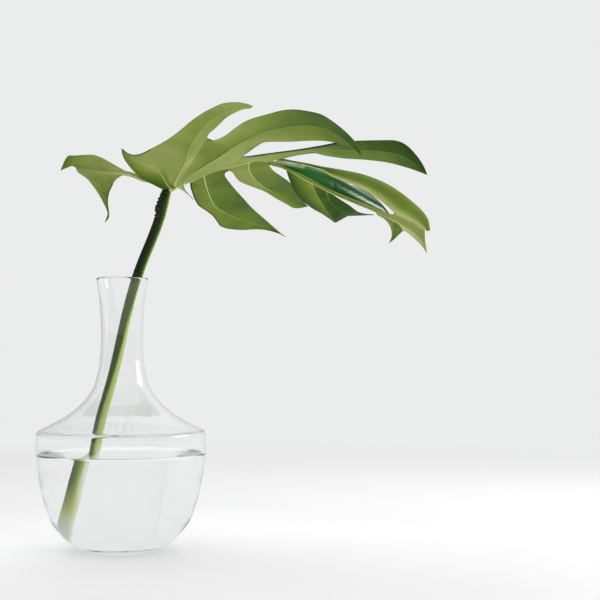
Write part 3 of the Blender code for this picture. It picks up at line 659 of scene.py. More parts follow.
# The blade: one leaf, deeply cut into lobes, a thin skin with the ribs standing out below. It is
# glossy dark green above and pale satin olive below, and grows from the stalk's joint. A lobe is a
# net of guide lines that run out from the midrib: its two margins and the side rib between them.
BLADE_THICKNESS = 0.6
RIB_HALF_WIDTH = 1.6
RIB_HEIGHT = 1.2
RIB_TAPER = 0.7
VEIN_HALF_WIDTH = 1.1
VEIN_HEIGHT = 0.9
WIDEST_RIB_SHARE = 0.25
WIDEST_MIDRIB_SHARE = 0.4

# The midrib, from the petiole to the apex
MIDRIB = [(43, 317.8, 8), (50, 322.3, 7.5), (60, 326.5, 7), (78, 334.5, 6), (100, 340.5, 4), (124, 345, 3),
          (144.5, 337.5, 1), (166.5, 326, 0), (193, 312.5, -1), (223, 300, -2), (242, 290.5, -3),
          (257, 281.5, -4), (266, 272.3, -5), (270.3, 262.3, -6)]

# Lines that run from the midrib to the foot of the cut between two lobes. Each is the number of
# rows that it takes, and its points. Both lobes beside the cut start with it.
SPUR_NEAR_CUT = (6, [(41.6, 326, 0), (38, 335, -14), (32, 346, -30), (25, 355.1, -42)])
NEAR_MIDDLE_CUT = (6, [(48.5, 325, 2), (55, 334, -8), (62, 344.5, -22), (68, 354, -36),
                       (72.3, 361.2, -47), (74.7, 364.6, -51)])
MIDDLE_LONG_CUT = (2, [(101, 343.5, -5), (105.5, 348, -14)])
LONG_END_CUT = (4, [(135.5, 345, -4), (141.5, 346.5, -11)])
BACK_LOBES_CUT = (9, [(36.3, 320.6, 15), (25, 325.5, 20), (17.7, 327.5, 25.5), (8, 331.6, 35),
                      (-3.5, 333.3, 48), (-15, 334.6, 58), (-28, 336, 67), (-42, 338.5, 73)])
BACK_SLIVER_CUT = (1, [(49.2, 320.5, 12)])
SLIVER_FAR_CUT = (1, [(53.9, 325.0, 11)])
FAR_SECOND_CUT = (1, [(94.1, 335.6, 9.5)])
SECOND_ARCHED_CUT = (1, [(130.2, 341.3, 6)])
ARCHED_SPUR_CUT = (4, [(234.7, 299.3, 1), (232, 303.8, 5), (229, 307.3, 10)])
SPUR_APEX_CUT = (3, [(247.5, 285.2, 4), (249, 282, 10)])

# Lobe tips
NEAR_SPUR_TIP = (-1.2, 355.4, -40)
NEAR_TIP = (115.5, 393.2, -119.4)
MIDDLE_TIP = (212.5, 349, -112)
LONG_TIP = (270.8, 332, -94)
BACK_LEFT_TIP = (-55.3, 336.2, 72)
BACK_LOW_TIP = (-15.6, 289.5, 101)
SLIVER_TIP = (63.3, 309.7, 66)
FAR_TIP = (145, 276.6, 118)
SECOND_TIP = (164.7, 303.8, 98)
FAR_SPUR_TIP = (237, 271.2, 34)

# Each lobe is a net of guide lines, in order along the midrib. A guide is where it leaves the
# midrib and its legs, each a number of rows and the points that the leg runs through.
NEAR_SPUR = [
    (43.0, [(10, [(37, 318.4, 5), (26.5, 323.6, -1), (16, 329.2, -8), (9.7, 335.2, -15),
        (5.6, 339.9, -20), (1.8, 345.3, -27), (-0.5, 350.6, -34), NEAR_SPUR_TIP])]),
    (44.7, [(10, [(40, 322.5, 3), (36.3, 329, -6), (32, 335, -13), (25, 339.5, -20), (16, 343.5, -27),
        (8, 347.5, -34), NEAR_SPUR_TIP])]),
    (47.0, [SPUR_NEAR_CUT, (4, [(16.8, 350.9, -44), (9.7, 349.6, -43), (3.8, 351.4, -42),
        NEAR_SPUR_TIP])])]
NEAR_LOBE = [
    (47.0, [SPUR_NEAR_CUT, (8, [(33.7, 359.7, -52), (42.5, 365.2, -62), (51.4, 371.9, -72),
        (60, 379.4, -83), (69, 385.8, -92), (78, 390.9, -101), (88.5, 395.52, -113.2),
        (100, 396.72, -119.2), (109.5, 395.55, -119.3), NEAR_TIP])]),
    (48.5, [(14, [(46, 324, 1), (51.4, 335.5, -14), (56, 344, -27), (60, 357, -44), (66.4, 368.5, -60),
        (75.3, 379, -76), (87, 387, -92), (101, 391.2, -107), NEAR_TIP])]),
    (50.0, [NEAR_MIDDLE_CUT, (8, [(76.4, 368.8, -56), (81.9, 373.7, -63), (86.4, 378, -69),
        (91.4, 382.9, -77), (98.4, 387.3, -87), (106.6, 390.7, -99), (113.2, 391.6, -110), NEAR_TIP])])]
MIDDLE_LOBE = [
    (50.0, [NEAR_MIDDLE_CUT, (10, [(77.7, 362.2, -51), (85, 363.8, -57), (92, 367.5, -65),
        (100, 373.8, -76), (107, 378.5, -85), (115, 382.1, -93), (126.6, 385.4, -102), (140, 389.1, -109),
        (150.5, 390.3, -113), (163, 389, -116), (175.5, 386.2, -118), (184.6, 381, -118.5),
        (195.8, 372.5, -118), (204.6, 363.8, -116), (209.8, 356.6, -114), MIDDLE_TIP])]),
    (53.0, [(16, [(58.5, 331, -3), (66, 335.6, -9), (73, 340, -15.5), (79.7, 344, -22),
        (88.6, 349.8, -31), (97.4, 356.2, -41), (109, 363, -53), (117.8, 367, -62), (131, 372, -74),
        (144.4, 374.8, -84), (157.6, 376.4, -92), (171, 376, -99), (184, 372.4, -104), (195.7, 365, -108),
        (205.5, 356, -110.5), MIDDLE_TIP])]),
    (97.5, [MIDDLE_LONG_CUT, (14, [(113.4, 353.6, -24), (120.4, 358.5, -34), (125.8, 361.2, -42),
        (135.5, 361.8, -52), (148.8, 361.8, -63), (166.5, 362.6, -76), (179.8, 362.4, -85),
        (191.3, 360.3, -93), (202, 357, -101), (208, 353.4, -107), MIDDLE_TIP])])]
LONG_LOBE = [
    (97.5, [MIDDLE_LONG_CUT, (12, [(113.4, 348.7, -22), (122, 350, -32), (140, 352.4, -48),
        (157.6, 354.8, -62), (175.3, 357.8, -74), (191.3, 360.9, -83), (207, 362.2, -92),
        (219.6, 362.6, -97), (232, 362.8, -101), (240.3, 362.8, -103), (248.5, 360.8, -103.5),
        (255.8, 355.4, -102.5), (262.9, 347.2, -100), (268, 339, -97), LONG_TIP])]),
    (109.0, [(14, [(114, 345.4, -4), (124, 347.2, -14), (138, 349.3, -28), (153, 351.4, -43),
        (171, 353.6, -58), (188.6, 354.5, -71), (206.3, 354.2, -82), (224, 353.8, -90), (240, 351.6, -95),
        (253.3, 346.7, -97), (263, 339.6, -96), LONG_TIP])]),
    (129.0, [LONG_END_CUT, (10, [(148.8, 348.2, -17), (157.6, 350.0, -26), (171, 351.4, -38),
        (180.7, 349.2, -46), (197.5, 346.8, -57), (215, 345.7, -68), (233, 343.6, -77), (246, 340.6, -84),
        (256.8, 337.3, -89), (264, 334.7, -92), LONG_TIP])])]
# The near end of the blade, with the long hole beside the midrib. Its rows are the midrib, the
# hole's two edges, a side rib and the margin.
END_LOBE = [
    (129.0, [LONG_END_CUT]),
    (148.8, [(4, [(149.7, 336.5, -2), (154, 342, -19), (154, 342.6, -20), (154, 344, -21.5)])]),
    (162.0, [(4, [(163, 330.3, -2.5), (165.6, 339.5, -26), (165.6, 340.2, -27), (165.6, 341.9, -28.5)])]),
    (175.3, [(4, [(176, 322.8, -3), (176, 337, -30), (176, 337.6, -31.5), (176, 339.6, -33.5)])]),
    (184.2, [(4, [(185, 318.4, -3), (184, 331.6, -30.5), (184, 334.8, -34), (184, 338.2, -38)])]),
    (193.0, [(4, [(194, 314.4, -3.5), (193, 327.7, -31), (193, 331.6, -36), (193, 336.6, -43)])]),
    (210.8, [(4, [(211.7, 307.3, -4), (210.8, 320.6, -29), (210.8, 326, -36), (210.8, 333, -46)])]),
    (223.2, [(4, [(224, 302, -4.5), (225, 312, -25), (225.8, 319.7, -33), (225.8, 328, -45)])]),
    (233.0, [(4, [(233.8, 297.6, -5), (234.7, 304.6, -18), (237.3, 311.7, -28), (238.5, 321.8, -41)])]),
    (240.0, [(4, [(240.4, 296.2, -8.5), (241.3, 298.6, -12), (247, 303.3, -24), (250.3, 313.8, -37)])]),
    (250.6, [(4, [(250.6, 290, -8), (251.5, 293.2, -12), (256, 297.6, -21), (259.6, 306.1, -33)])]),
    (257.5, [(4, [(258, 286, -9), (259.5, 290, -13), (263, 292.2, -18), (267, 298.9, -29)])]),
    (265.0, [(4, [(265.6, 281.0, -8.5), (265.7, 286, -13), (268, 287.8, -16), (271.4, 291.6, -25)])]),
    (270.3, [(4, [(268.6, 275.6, -7.5), (268.8, 284.3, -11), (270.3, 282, -14), (273.1, 282.3, -21)])])]
END_HOLE_ROW = 1               # the hole lies between this row and the next
END_HOLE_LAST = 9              # and from the first guide to this one

BACK_LEFT = [
    (43.0, [(12, [(36.3, 321.3, 9), (25, 326.8, 9), (17.7, 330.0, 12), (9.7, 333.4, 18), (2.7, 335.2, 25),
        (-5.3, 339.4, 34), (-16, 345.6, 43), (-25.7, 349.5, 50), (-34.5, 349.6, 56), (-43.2, 349.0, 61),
        (-49.6, 348.2, 66), BACK_LEFT_TIP])]),
    (44.7, [(9, [(36.3, 320.8, 13), (25, 326, 17), (17.7, 328.2, 22), (8, 332.4, 31), (-1.8, 334.6, 43),
        (-10.6, 336.3, 53), (-24, 339.2, 64), (-41, 341.2, 72.5)]), (3, [(-46, 340, 74),
        BACK_LEFT_TIP])]),
    (47.0, [BACK_LOBES_CUT, (3, [(-47.7, 340.4, 75), BACK_LEFT_TIP])])]
BACK_LOW = [
    (47.0, [BACK_LOBES_CUT, (7, [(-39.5, 334.1, 76), (-31.4, 328.3, 81), (-25.1, 320.5, 86),
        (-20.9, 314.2, 90), (-17.2, 307.5, 93.5), (-13.2, 298.3, 97.5), BACK_LOW_TIP])]),
    (48.0, [(5, [(36.3, 320.4, 17), (25, 325.2, 23), (17.7, 326.9, 29), (8, 330.9, 39), (0, 332.3, 47)]),
        (11, [(-6.2, 328, 58), (-10.2, 320.6, 69), (-13.6, 311.7, 81), (-13.4, 301, 91), (-13.0, 295, 96),
        BACK_LOW_TIP])]),
    (49.0, [BACK_SLIVER_CUT, (4, [(43.4, 317.9, 16), (36.3, 320.2, 20), (25, 324.9, 27),
        (17.7, 326.5, 33), (8, 330.5, 43), (1.3, 332.3, 49)]), (11, [(-5.3, 329.3, 57), (-9.9, 322.8, 66),
        (-12.4, 315.3, 75), (-13.3, 307.3, 84), (-12.3, 299.0, 91), (-12.5, 293.6, 96), BACK_LOW_TIP])])]
SLIVER = [
    (49.0, [BACK_SLIVER_CUT, (4, [(52.3, 318.5, 24), (57.7, 315, 42), SLIVER_TIP])]),
    (51.0, [(5, [(51.4, 320.4, 14), (55.8, 317, 34), (60, 313, 52), SLIVER_TIP])]),
    (54.5, [SLIVER_FAR_CUT, (4, [(55.3, 318.5, 28), (59.1, 313.6, 48), SLIVER_TIP])])]
FAR_LOBE = [
    (54.5, [SLIVER_FAR_CUT, (13, [(56.8, 327.2, 11.5), (59.6, 327.6, 13), (60.2, 320.8, 19),
        (61.7, 316.4, 27), (63.4, 311.4, 35), (67.4, 304.7, 46), (74.1, 300.1, 56), (80.1, 295.4, 66),
        (84.6, 289.3, 77), (86.9, 286.4, 82), (94, 284, 88), (106.3, 283, 96), (120.4, 283.5, 103),
        (131, 282.0, 108), (140, 279.4, 113), FAR_TIP])]),
    (72.0, [(14, [(73, 326.8, 12), (74.4, 321.5, 21), (76.2, 316.2, 31), (78.4, 310.8, 41),
        (82.4, 304.2, 53), (89.4, 299.3, 64), (99.2, 294.5, 76), (111.6, 290, 89), (124, 286.5, 101),
        (133.7, 283, 109.5), FAR_TIP])]),
    (93.0, [FAR_SECOND_CUT, (13, [(91.3, 334.2, 11.5), (90.7, 331.4, 15), (93, 327.6, 20),
        (99.1, 319.8, 34), (107, 311.1, 51), (114.6, 302.7, 68), (123.5, 294.7, 85), (132.4, 286.9, 101),
        (140.4, 279.8, 113), FAR_TIP])])]
SECOND_LOBE = [
    (93.0, [FAR_SECOND_CUT, (11, [(97.2, 334.5, 12), (100, 330.4, 18), (103.1, 326.7, 24),
        (109, 323.7, 31), (117.8, 320.4, 42), (126.6, 316.9, 54), (135.5, 311.3, 66), (144.4, 306.4, 78),
        (151.4, 302.6, 88), (157.6, 302.4, 93), SECOND_TIP])]),
    (112.0, [(12, [(112, 338.3, 10), (114, 333, 19), (118.7, 327.2, 31), (124, 322.6, 42),
        (131, 318.5, 54), (140, 314.6, 66), (148.8, 310.8, 78), (157.6, 306.4, 90), SECOND_TIP])]),
    (127.5, [SECOND_ARCHED_CUT, (11, [(131.3, 338.5, 12), (135, 334.7, 21), (140.4, 330.9, 32),
        (146.4, 326.7, 44), (152.7, 320.8, 58), (157.6, 313.5, 74), (161.2, 307.7, 88), SECOND_TIP])])]
# The lobe that rises behind the midrib, turns over and hangs down, with a hook beside the next cut
ARCHED_LOBE = [
    (127.5, [SECOND_ARCHED_CUT, (3, [(133.7, 343, 9), (138, 344.3, 14), (142.6, 342.7, 20)]),
        (10, [(144.6, 338.3, 27), (146.4, 333, 34), (148.7, 326.3, 42), (153.2, 316.8, 53),
        (161.6, 307.6, 65), (169.5, 301.6, 74), (177.3, 297.3, 80), (185, 292.1, 86),
        (187.7, 289.8, 88)])]),
    (161.0, [(4, [(161.2, 335.6, 6), (162, 340.5, 14)]), (10, [(164.7, 337.4, 26), (167.4, 327.7, 39),
        (171, 318, 50), (176.2, 308.2, 61), (182.4, 299, 72), (187, 292.7, 82), (189.5, 289.6, 88)])]),
    (186.0, [(4, [(187, 324, 5), (186, 331.2, 13), (183.3, 334, 22)]), (10, [(180.7, 328.6, 36),
        (180.7, 318.8, 48), (184, 309, 60), (191.3, 301, 70), (195.7, 296.0, 78), (200, 295.4, 82)])]),
    (237.0, [ARCHED_SPUR_CUT, (10, [(219.9, 315.0, 22), (209.5, 321.0, 32), (197.8, 322.2, 42),
        (189.5, 318.4, 50), (186.4, 315.1, 55), (193.2, 310.0, 60), (202.3, 304.1, 66),
        (209.2, 298.8, 70), (216, 297.0, 73), (223.4, 296.3, 76)])])]
FAR_SPUR = [
    (237.0, [ARCHED_SPUR_CUT, (6, [(226.9, 303.2, 13), (225.6, 297.2, 16), (232.4, 292.9, 20),
        (237.7, 286.2, 25), (239.4, 278.2, 30), FAR_SPUR_TIP])]),
    (241.0, [(6, [(240.6, 290.3, 3), (240.2, 289, 5)]), (4, [(240.2, 286.6, 9), (240, 282, 17),
        (239.5, 277, 25), FAR_SPUR_TIP])]),
    (245.5, [SPUR_APEX_CUT, (7, [(245.4, 278.6, 17), (240.9, 274.3, 27), FAR_SPUR_TIP])])]
APEX = [
    (245.5, [SPUR_APEX_CUT]),
    (252.0, [(3, [(252.2, 281.2, 9)])]),
    (258.0, [(3, [(258.2, 276.2, 6.5)])]),
    (265.0, [(3, [(264.9, 269.9, 0)])]),
    (270.3, [(3, [(270.3, 262.3, -6)])])]

# Tones run from 0, deep green, through yellow-green to 1, pale olive. Each half of a lobe has a
# row of them for its left and its right edge, evenly spaced from the root to the tip. Besides the
# leaf's own colour they paint light and shade: darker where a half is turned away or folded into
# shade, paler where light glows through. A net's last item tells how broad a band of painted shade
# runs along its left and right margins, where the curled edge is seen edge-on in shade, at the
# root and the tip.
NO_RIM_SHADE = (0.0, 0.0)
UNSHADED_RIMS = (NO_RIM_SHADE, NO_RIM_SHADE)
NEAR_NETS = [
    (NEAR_SPUR, [((0.0, 0.1, 0.25, 0.3, 0.25, 0.2), (0.0, 0.35, 0.9, 0.9, 0.75, 0.6)),
                 ((0.1, 0.5, 0.9, 0.9, 0.75, 0.6), (0.45, 0.6, 0.8, 0.85, 0.6, 0.3))],
     (NO_RIM_SHADE, (0.0, 1.0))),
    (NEAR_LOBE, [((0.8, 0.88, 0.58, 0.78), (0.82, 0.7, 0.5, 0.82)),
                 ((0.82, 0.85, 0.6, 0.8), (0.88, 0.95, 0.7, 0.85))], UNSHADED_RIMS),
    (MIDDLE_LOBE, [((0.85, 0.65, 0.85, 0.25, 0.2), (0.8, 0.5, 0.5, 0.25, 0.15)),
                   ((0.85, 0.8, 0.65, 0.4, 0.15), (0.88, 0.85, 0.75, 0.5, 0.2))], UNSHADED_RIMS),
    (LONG_LOBE, [((0.9, 0.45, 0.05, 0.0), (0.9, 0.75, 0.25, 0.0)),
                 ((0.95, 0.5, 0.25, 0.05), (0.9, 0.65, 0.5, 0.2))], ((4.5, 5.5, 0.0, 0.0), NO_RIM_SHADE)),
    (END_LOBE, [((0.8, 0.6, 0.4, 0.6, 1.0, 1.0, 0.35, 0.2, 0.4),
                 (0.95, 0.95, 0.9, 0.95, 1.0, 0.95, 0.55, 0.45, 0.8))], UNSHADED_RIMS),
]
FAR_NETS = [
    (BACK_LEFT, [((0.0, 0.7, 0.75, 0.3), (0.1, 0.85, 0.8, 0.5)),
                 ((1.0, 0.95, 0.8, 0.7), (1.0, 1.0, 0.9, 0.8))], UNSHADED_RIMS),
    (BACK_LOW, [((1.0, 1.0, 0.75, 0.2), (1.0, 0.9, 0.35, 0.2)),
                ((1.0, 0.9, 0.3, 0.2), (0.9, 0.9, 0.4, 0.4))], UNSHADED_RIMS),
    (SLIVER, [((0.8, 0.8, 0.8), (0.8, 0.8, 0.8)), ((0.6, 0.6, 0.6), (0.6, 0.6, 0.6))], UNSHADED_RIMS),
    (FAR_LOBE, [((0.45, 0.45, 0.4, 0.4), (0.6, 0.55, 0.35, 0.4)),
                ((0.5, 0.35, 0.4, 0.4), (0.4, 0.25, 0.25, 0.4))], ((1.2, 0.0), NO_RIM_SHADE)),
    (SECOND_LOBE, [((0.8, 0.85, 0.65, 0.35), (0.8, 0.8, 0.4, 0.25)),
                   ((0.6, 0.42, 0.35, 0.25), (0.5, 0.35, 0.22, 0.25))], UNSHADED_RIMS),
    (ARCHED_LOBE, [((0.0, 0.0, 0.0, 0.1), (0.95, 1.0, 0.7, 0.1)),
                   ((0.9, 0.7, 0.2, 0.0), (0.45, 0.4, 0.1, 0.0)),
                   ((0.3, 0.2, 0.05), (0.25, 0.1, 0.0))], UNSHADED_RIMS),
    (FAR_SPUR, [((0.9, 0.75, 0.6), (0.5, 0.5, 0.4)), ((0.3, 0.3, 0.3), (0.3, 0.3, 0.3))], UNSHADED_RIMS),
    (APEX, [((1.1, 1.1, 1.1), (1.2, 1.2, 1.2))], UNSHADED_RIMS),
]
RIBBED = [NEAR_SPUR, NEAR_LOBE, MIDDLE_LOBE, LONG_LOBE, BACK_LEFT, BACK_LOW, SLIVER, FAR_LOBE,
          SECOND_LOBE, ARCHED_LOBE, FAR_SPUR]

ROW_SPLIT = 5                  # mesh rows for each row of the guides
RIDGE_STEPS = 3                # columns or rows from the crest of a rib to its foot
FIELD_COLUMNS = 12             # columns between a rib and the next one or the margin
ALONG_COLUMNS = 6              # columns between guides in a strip along the midrib
VEIN_ROOT_SHARE = 0.12         # how much of the midrib a side rib takes up between two guides
VEIN_TAPER = 0.6
QUILT_SHARE, QUILT_MOST = 0.03, 1.0
VEIN_FADE = 0.75
PAD_REACH = 5.0                # the pale pad where the ribs meet
NORMAL_SOFTENING = 3
RIB_SHOWS_ABOVE = 0.05
FAR_IN = 99.0                  # stands for no margin near
MIDRIB_LINE = smooth_line([seen_from_front(p) for p in MIDRIB], 600)
MIDRIB_ENDS = MIDRIB[0][0], MIDRIB[-1][0]
midrib_across = [EYE.x + (p.x - EYE.x) / (1.0 - p.y / EYE.y) for p in MIDRIB_LINE]


def on_midrib(across):
    """The midrib's point that is seen at this across."""
    for i in range(len(MIDRIB_LINE) - 1):
        if across <= midrib_across[i + 1]:
            share = (across - midrib_across[i]) / (midrib_across[i + 1] - midrib_across[i])
            return MIDRIB_LINE[i].lerp(MIDRIB_LINE[i + 1], max(0.0, share))
    return MIDRIB_LINE[-1].copy()


def run_guide(across, legs):
    """The points of one guide, ROW_SPLIT for each of its rows, starting on the midrib."""
    line = [on_midrib(across)]
    for rows, points in legs:
        stops = [line[-1]] + [seen_from_front(p) for p in points]
        if rows == len(stops) - 1:
            line += curve_through(stops, ROW_SPLIT)[1:]
        else:
            line += smooth_line(stops, rows * ROW_SPLIT)[1:]
    return line


def cut_rows(legs):
    """How many mesh rows a guide shares with the next lobe, before its own margin starts."""
    return legs[0][0] * ROW_SPLIT if len(legs) > 1 else 0


def blend(stops, share):
    """The value at this share of a row of evenly spaced values."""
    spot = share * (len(stops) - 1)
    k = min(int(spot), len(stops) - 2)
    return stops[k] + (stops[k + 1] - stops[k]) * (spot - k)


def ridge(away):
    """The section of a rib: 1 on its crest, 0 at its foot."""
    return 0.5 + 0.5 * math.cos(math.pi * min(max(away, 0.0), 1.0))


def column_places(from_rib, to_rib):
    """Where the columns of half a lobe lie: on the slope of the rib to the left, in the field, or
    on the slope of the rib to the right, and how far from the rib's crest or across the field."""
    places = [("field", i / FIELD_COLUMNS) for i in range(FIELD_COLUMNS + 1)]
    if from_rib:
        places = [("left", i / RIDGE_STEPS) for i in range(1, RIDGE_STEPS)] + places
    if to_rib:
        places += [("right", 1.0 - i / RIDGE_STEPS) for i in range(1, RIDGE_STEPS + 1)]
    return places


def share_across(kind, part, left_slope, right_slope):
    """A place as a share of the way across, where the slopes of the ribs take up these shares."""
    if kind == "left":
        return left_slope * part
    if kind == "right":
        return 1.0 - right_slope * part
    return left_slope + (1.0 - right_slope - left_slope) * part


def root_share(kind, part, from_rib, to_rib):
    """Where a column leaves the midrib, as a share of the way between its two guides."""
    if kind == "field" and part == 0.0 and not from_rib:
        return 0.0
    if kind == "right" and part == 0.0 or kind == "field" and part == 1.0 and not to_rib:
        return 1.0
    share = share_across(kind, part, VEIN_ROOT_SHARE * from_rib, VEIN_ROOT_SHARE * to_rib)
    return min(max(share, 0.05), 0.95)


def lobe_columns(guides, shading_tones, rim_shades):
    """The columns of a lobe with side ribs. A column is its across on the midrib, its points, and
    for each point the rib's height there and what the finish reads: the distances across and along
    the vein, the tone with its painted light and shade, the distance from the margin, how broad the
    painted shade there is, the quilting and how pale the rib is."""
    lines = [run_guide(across, legs) for across, legs in guides]
    last = len(lines) - 1
    rows = len(lines[0]) - 1
    first_cut, last_cut = cut_rows(guides[0][1]), cut_rows(guides[-1][1])
    quilted = guides is not ARCHED_LOBE
    columns = []
    for k in range(last):
        left, right = lines[k], lines[k + 1]
        from_rib, to_rib = k > 0, k < last - 1
        reach = reach_along(right if to_rib and not from_rib else left)
        cuts = [first_cut] if first_cut and not from_rib else []
        cuts += [last_cut] if last_cut and not to_rib else []
        low, high = shading_tones[k]
        for kind, part in column_places(from_rib, to_rib):
            column, facts = [], []
            for r in range(rows + 1):
                run = r / rows
                width = max((right[r] - left[r]).length, 1e-6)
                slope = min(VEIN_HALF_WIDTH * (1.0 - VEIN_TAPER * run) / width, WIDEST_RIB_SHARE)
                share = share_across(kind, part, slope * from_rib, slope * to_rib)
                crest = 0.0
                if from_rib and share < slope:
                    crest = ridge(share / slope)
                if to_rib and share > 1.0 - slope:
                    crest = ridge((1.0 - share) / slope)
                point = left[r].lerp(right[r], share)
                away = share * width if from_rib else (1.0 - share) * width
                if from_rib and to_rib:
                    away = min(share, 1.0 - share) * width
                margin, dark = FAR_IN, 0.0
                if not from_rib and r >= first_cut:
                    margin, dark = share * width, blend(rim_shades[0], run)
                if not to_rib and r >= last_cut and (1.0 - share) * width < margin:
                    margin, dark = (1.0 - share) * width, blend(rim_shades[1], run)
                tone = blend(low, run) * (1 - share) + blend(high, run) * share
                pale = max(crest * (1.0 - VEIN_FADE * run ** 0.6),
                           ridge((point - MIDRIB_LINE[0]).length / PAD_REACH))
                from_cut = min((abs(r - cut) for cut in cuts), default=rows)
                fade = min(1.0, r / (3 * ROW_SPLIT), from_cut / (2 * ROW_SPLIT))
                arch = min(QUILT_SHARE * width, QUILT_MOST) * 4 * share * (1 - share) * fade * quilted
                column.append(point)
                facts.append((crest, away, reach[r], tone, margin, dark, arch, pale))
            start, end = guides[k][0], guides[k + 1][0]
            base = start + (end - start) * root_share(kind, part, from_rib, to_rib)
            column[0] = on_midrib(base)
            columns.append((base, column, facts))
    return columns


def strip_columns(guides, shading_tones, rim_shades):
    """The columns of a strip along the midrib, smooth across all its guides."""
    lines = [run_guide(across, legs) for across, legs in guides]
    rows = len(lines[0]) - 1
    curves = [curve_through([line[r] for line in lines], ALONG_COLUMNS) for r in range(rows + 1)]
    low, high = shading_tones[0]
    columns = []
    along = 0.0
    for c in range(len(curves[0])):
        k = min(c // ALONG_COLUMNS, len(guides) - 2)
        part = c / ALONG_COLUMNS - k
        base = guides[k][0] + (guides[k + 1][0] - guides[k][0]) * part
        column = [curve[c] for curve in curves]
        column[0] = on_midrib(base)
        if columns:
            along += (column[0] - columns[-1][1][0]).length
        reach = reach_along(column)
        run = c / (len(curves[0]) - 1)
        dark = blend(rim_shades[1], run)
        facts = []
        for r in range(rows + 1):
            tone = blend(low, r / rows) * (1 - run) + blend(high, r / rows) * run
            facts.append((0.0, reach[r], along, tone, reach[-1] - reach[r], dark, 0.0, 0.0))
        columns.append((base, column, facts))
    return columns


def quilt(columns, near):
    """Arches each half of a lobe a little between its rib and its margin."""
    lifted = []
    for c, (_, column, facts) in enumerate(columns):
        other = columns[c + 1][1] if c + 1 < len(columns) else columns[c - 1][1]
        flip = 1 if (c + 1 < len(columns)) == near else -1
        new = [column[0]]
        for r in range(1, len(column)):
            along = column[r] - column[r - 1]
            normal = along.cross(other[r] - column[r])
            lift = normal.normalized() * flip * facts[r][6] if normal.length > 1e-9 else Vector()
            new.append(column[r] + lift)
        lifted.append(new)
    for (_, column, _), new in zip(columns, lifted):
        column[:] = new


def add_midrib_rows(columns):
    """Rows close beside the midrib, so that it can be a rounded ridge."""
    for _, column, facts in columns:
        length = max((column[ROW_SPLIT] - column[0]).length, 1e-6)
        first = max((column[1] - column[0]).length, 1e-6)
        reach = min(RIB_HALF_WIDTH, length * WIDEST_MIDRIB_SHARE)
        step = reach / first if reach < first else 0.98
        rows = [column[0].lerp(column[1], step * i / RIDGE_STEPS) for i in range(1, RIDGE_STEPS + 1)]
        for i, row in enumerate(rows, 1):
            column.insert(i, row)
            crest = ridge(i / RIDGE_STEPS)
            old = facts[i]
            facts.insert(i, (max(crest, old[0]),) + old[1:-1] + (max(crest, old[-1]),))
        facts[0] = (1.0,) + facts[0][1:-1] + (1.0,)


def midrib_height(base):
    """How far the midrib stands out at this across."""
    share = (base - MIDRIB_ENDS[0]) / (MIDRIB_ENDS[1] - MIDRIB_ENDS[0])
    return RIB_HEIGHT * (1.0 - RIB_TAPER * share)


def strip_beside_midrib(chain, left, right):
    """Triangles between a chain of midrib points and the two points of the first mesh row."""
    middle = len(chain) // 2
    strip = [[a, left, b] for a, b in zip(chain[:middle + 1], chain[1:middle + 1])]
    strip.append([chain[middle], left, right])
    strip += [[a, right, b] for a, b in zip(chain[middle:], chain[middle + 1:])]
    return strip


def weld_sheet():
    """Joins all nets into one sheet: its points, the ribs' height at each, its faces turned
    upwards, and for each corner of a face what the finish reads."""
    points, heights, faces, reads, index = [], [], [], [], {}

    def place(point, height):
        key = tuple(round(c, 3) for c in point)
        if key not in index:
            index[key] = len(points)
            points.append(point)
            heights.append(0.0)
        heights[index[key]] = max(heights[index[key]], height)
        return index[key]

    nets = []
    for near, side in ((True, NEAR_NETS), (False, FAR_NETS)):
        for guides, shading_tones, rim_shades in side:
            ribbed = any(guides is lobe for lobe in RIBBED)
            columns = (lobe_columns if ribbed else strip_columns)(guides, shading_tones, rim_shades)
            if ribbed:
                quilt(columns, near)
            add_midrib_rows(columns)
            nets.append((guides is END_LOBE, near, columns))
    stations = sorted({base for _, _, columns in nets for base, _, _ in columns})
    midrib = {base: place(on_midrib(base), midrib_height(base)) for base in stations}
    hole_start = RIDGE_STEPS + ROW_SPLIT * END_HOLE_ROW
    hole_rows = range(hole_start, hole_start + ROW_SPLIT)
    hole_end = END_HOLE_LAST * ALONG_COLUMNS
    for holed, near, columns in nets:
        grid = []
        for base, column, facts in columns:
            rows = len(column) - 1
            ribs = [midrib_height(base) if row <= RIDGE_STEPS else VEIN_HEIGHT * (1 - row / rows)
                    for row in range(rows + 1)]
            grid.append([place(*spot) for spot in
                         zip(column, (rib * fact[0] for rib, fact in zip(ribs, facts)))])
        for c, (left, right) in enumerate(zip(grid, grid[1:])):
            left, right = list(zip(left, columns[c][2])), list(zip(right, columns[c + 1][2]))
            between = [b for b in stations if columns[c][0] <= b <= columns[c + 1][0]]
            cells = strip_beside_midrib([(midrib[b], left[0][1]) for b in between], left[1], right[1])
            cells += [[left[r], left[r + 1], right[r + 1], right[r]] for r in range(1, len(left) - 1)
                      if not (holed and r in hole_rows and c < hole_end)]
            for cell in cells:
                corners = [v for i, v in enumerate(cell) if v[0] != cell[i - 1][0]]
                if len(corners) > 2:
                    corners = corners if near else corners[::-1]
                    faces.append([v[0] for v in corners])
                    reads.append([v[1] for v in corners])
    return points, heights, faces, reads


def split_faces(points, faces, reads):
    """Cuts every four-cornered face along its shorter diagonal."""
    triangles, triangle_reads = [], []
    for face, read in zip(faces, reads):
        if len(face) == 3:
            picks = [(0, 1, 2)]
        elif (points[face[0]] - points[face[2]]).length <= (points[face[1]] - points[face[3]]).length:
            picks = [(0, 1, 2), (0, 2, 3)]
        else:
            picks = [(1, 2, 3), (1, 3, 0)]
        for pick in picks:
            triangles.append([face[i] for i in pick])
            triangle_reads.append([read[i] for i in pick])
    return triangles, triangle_reads


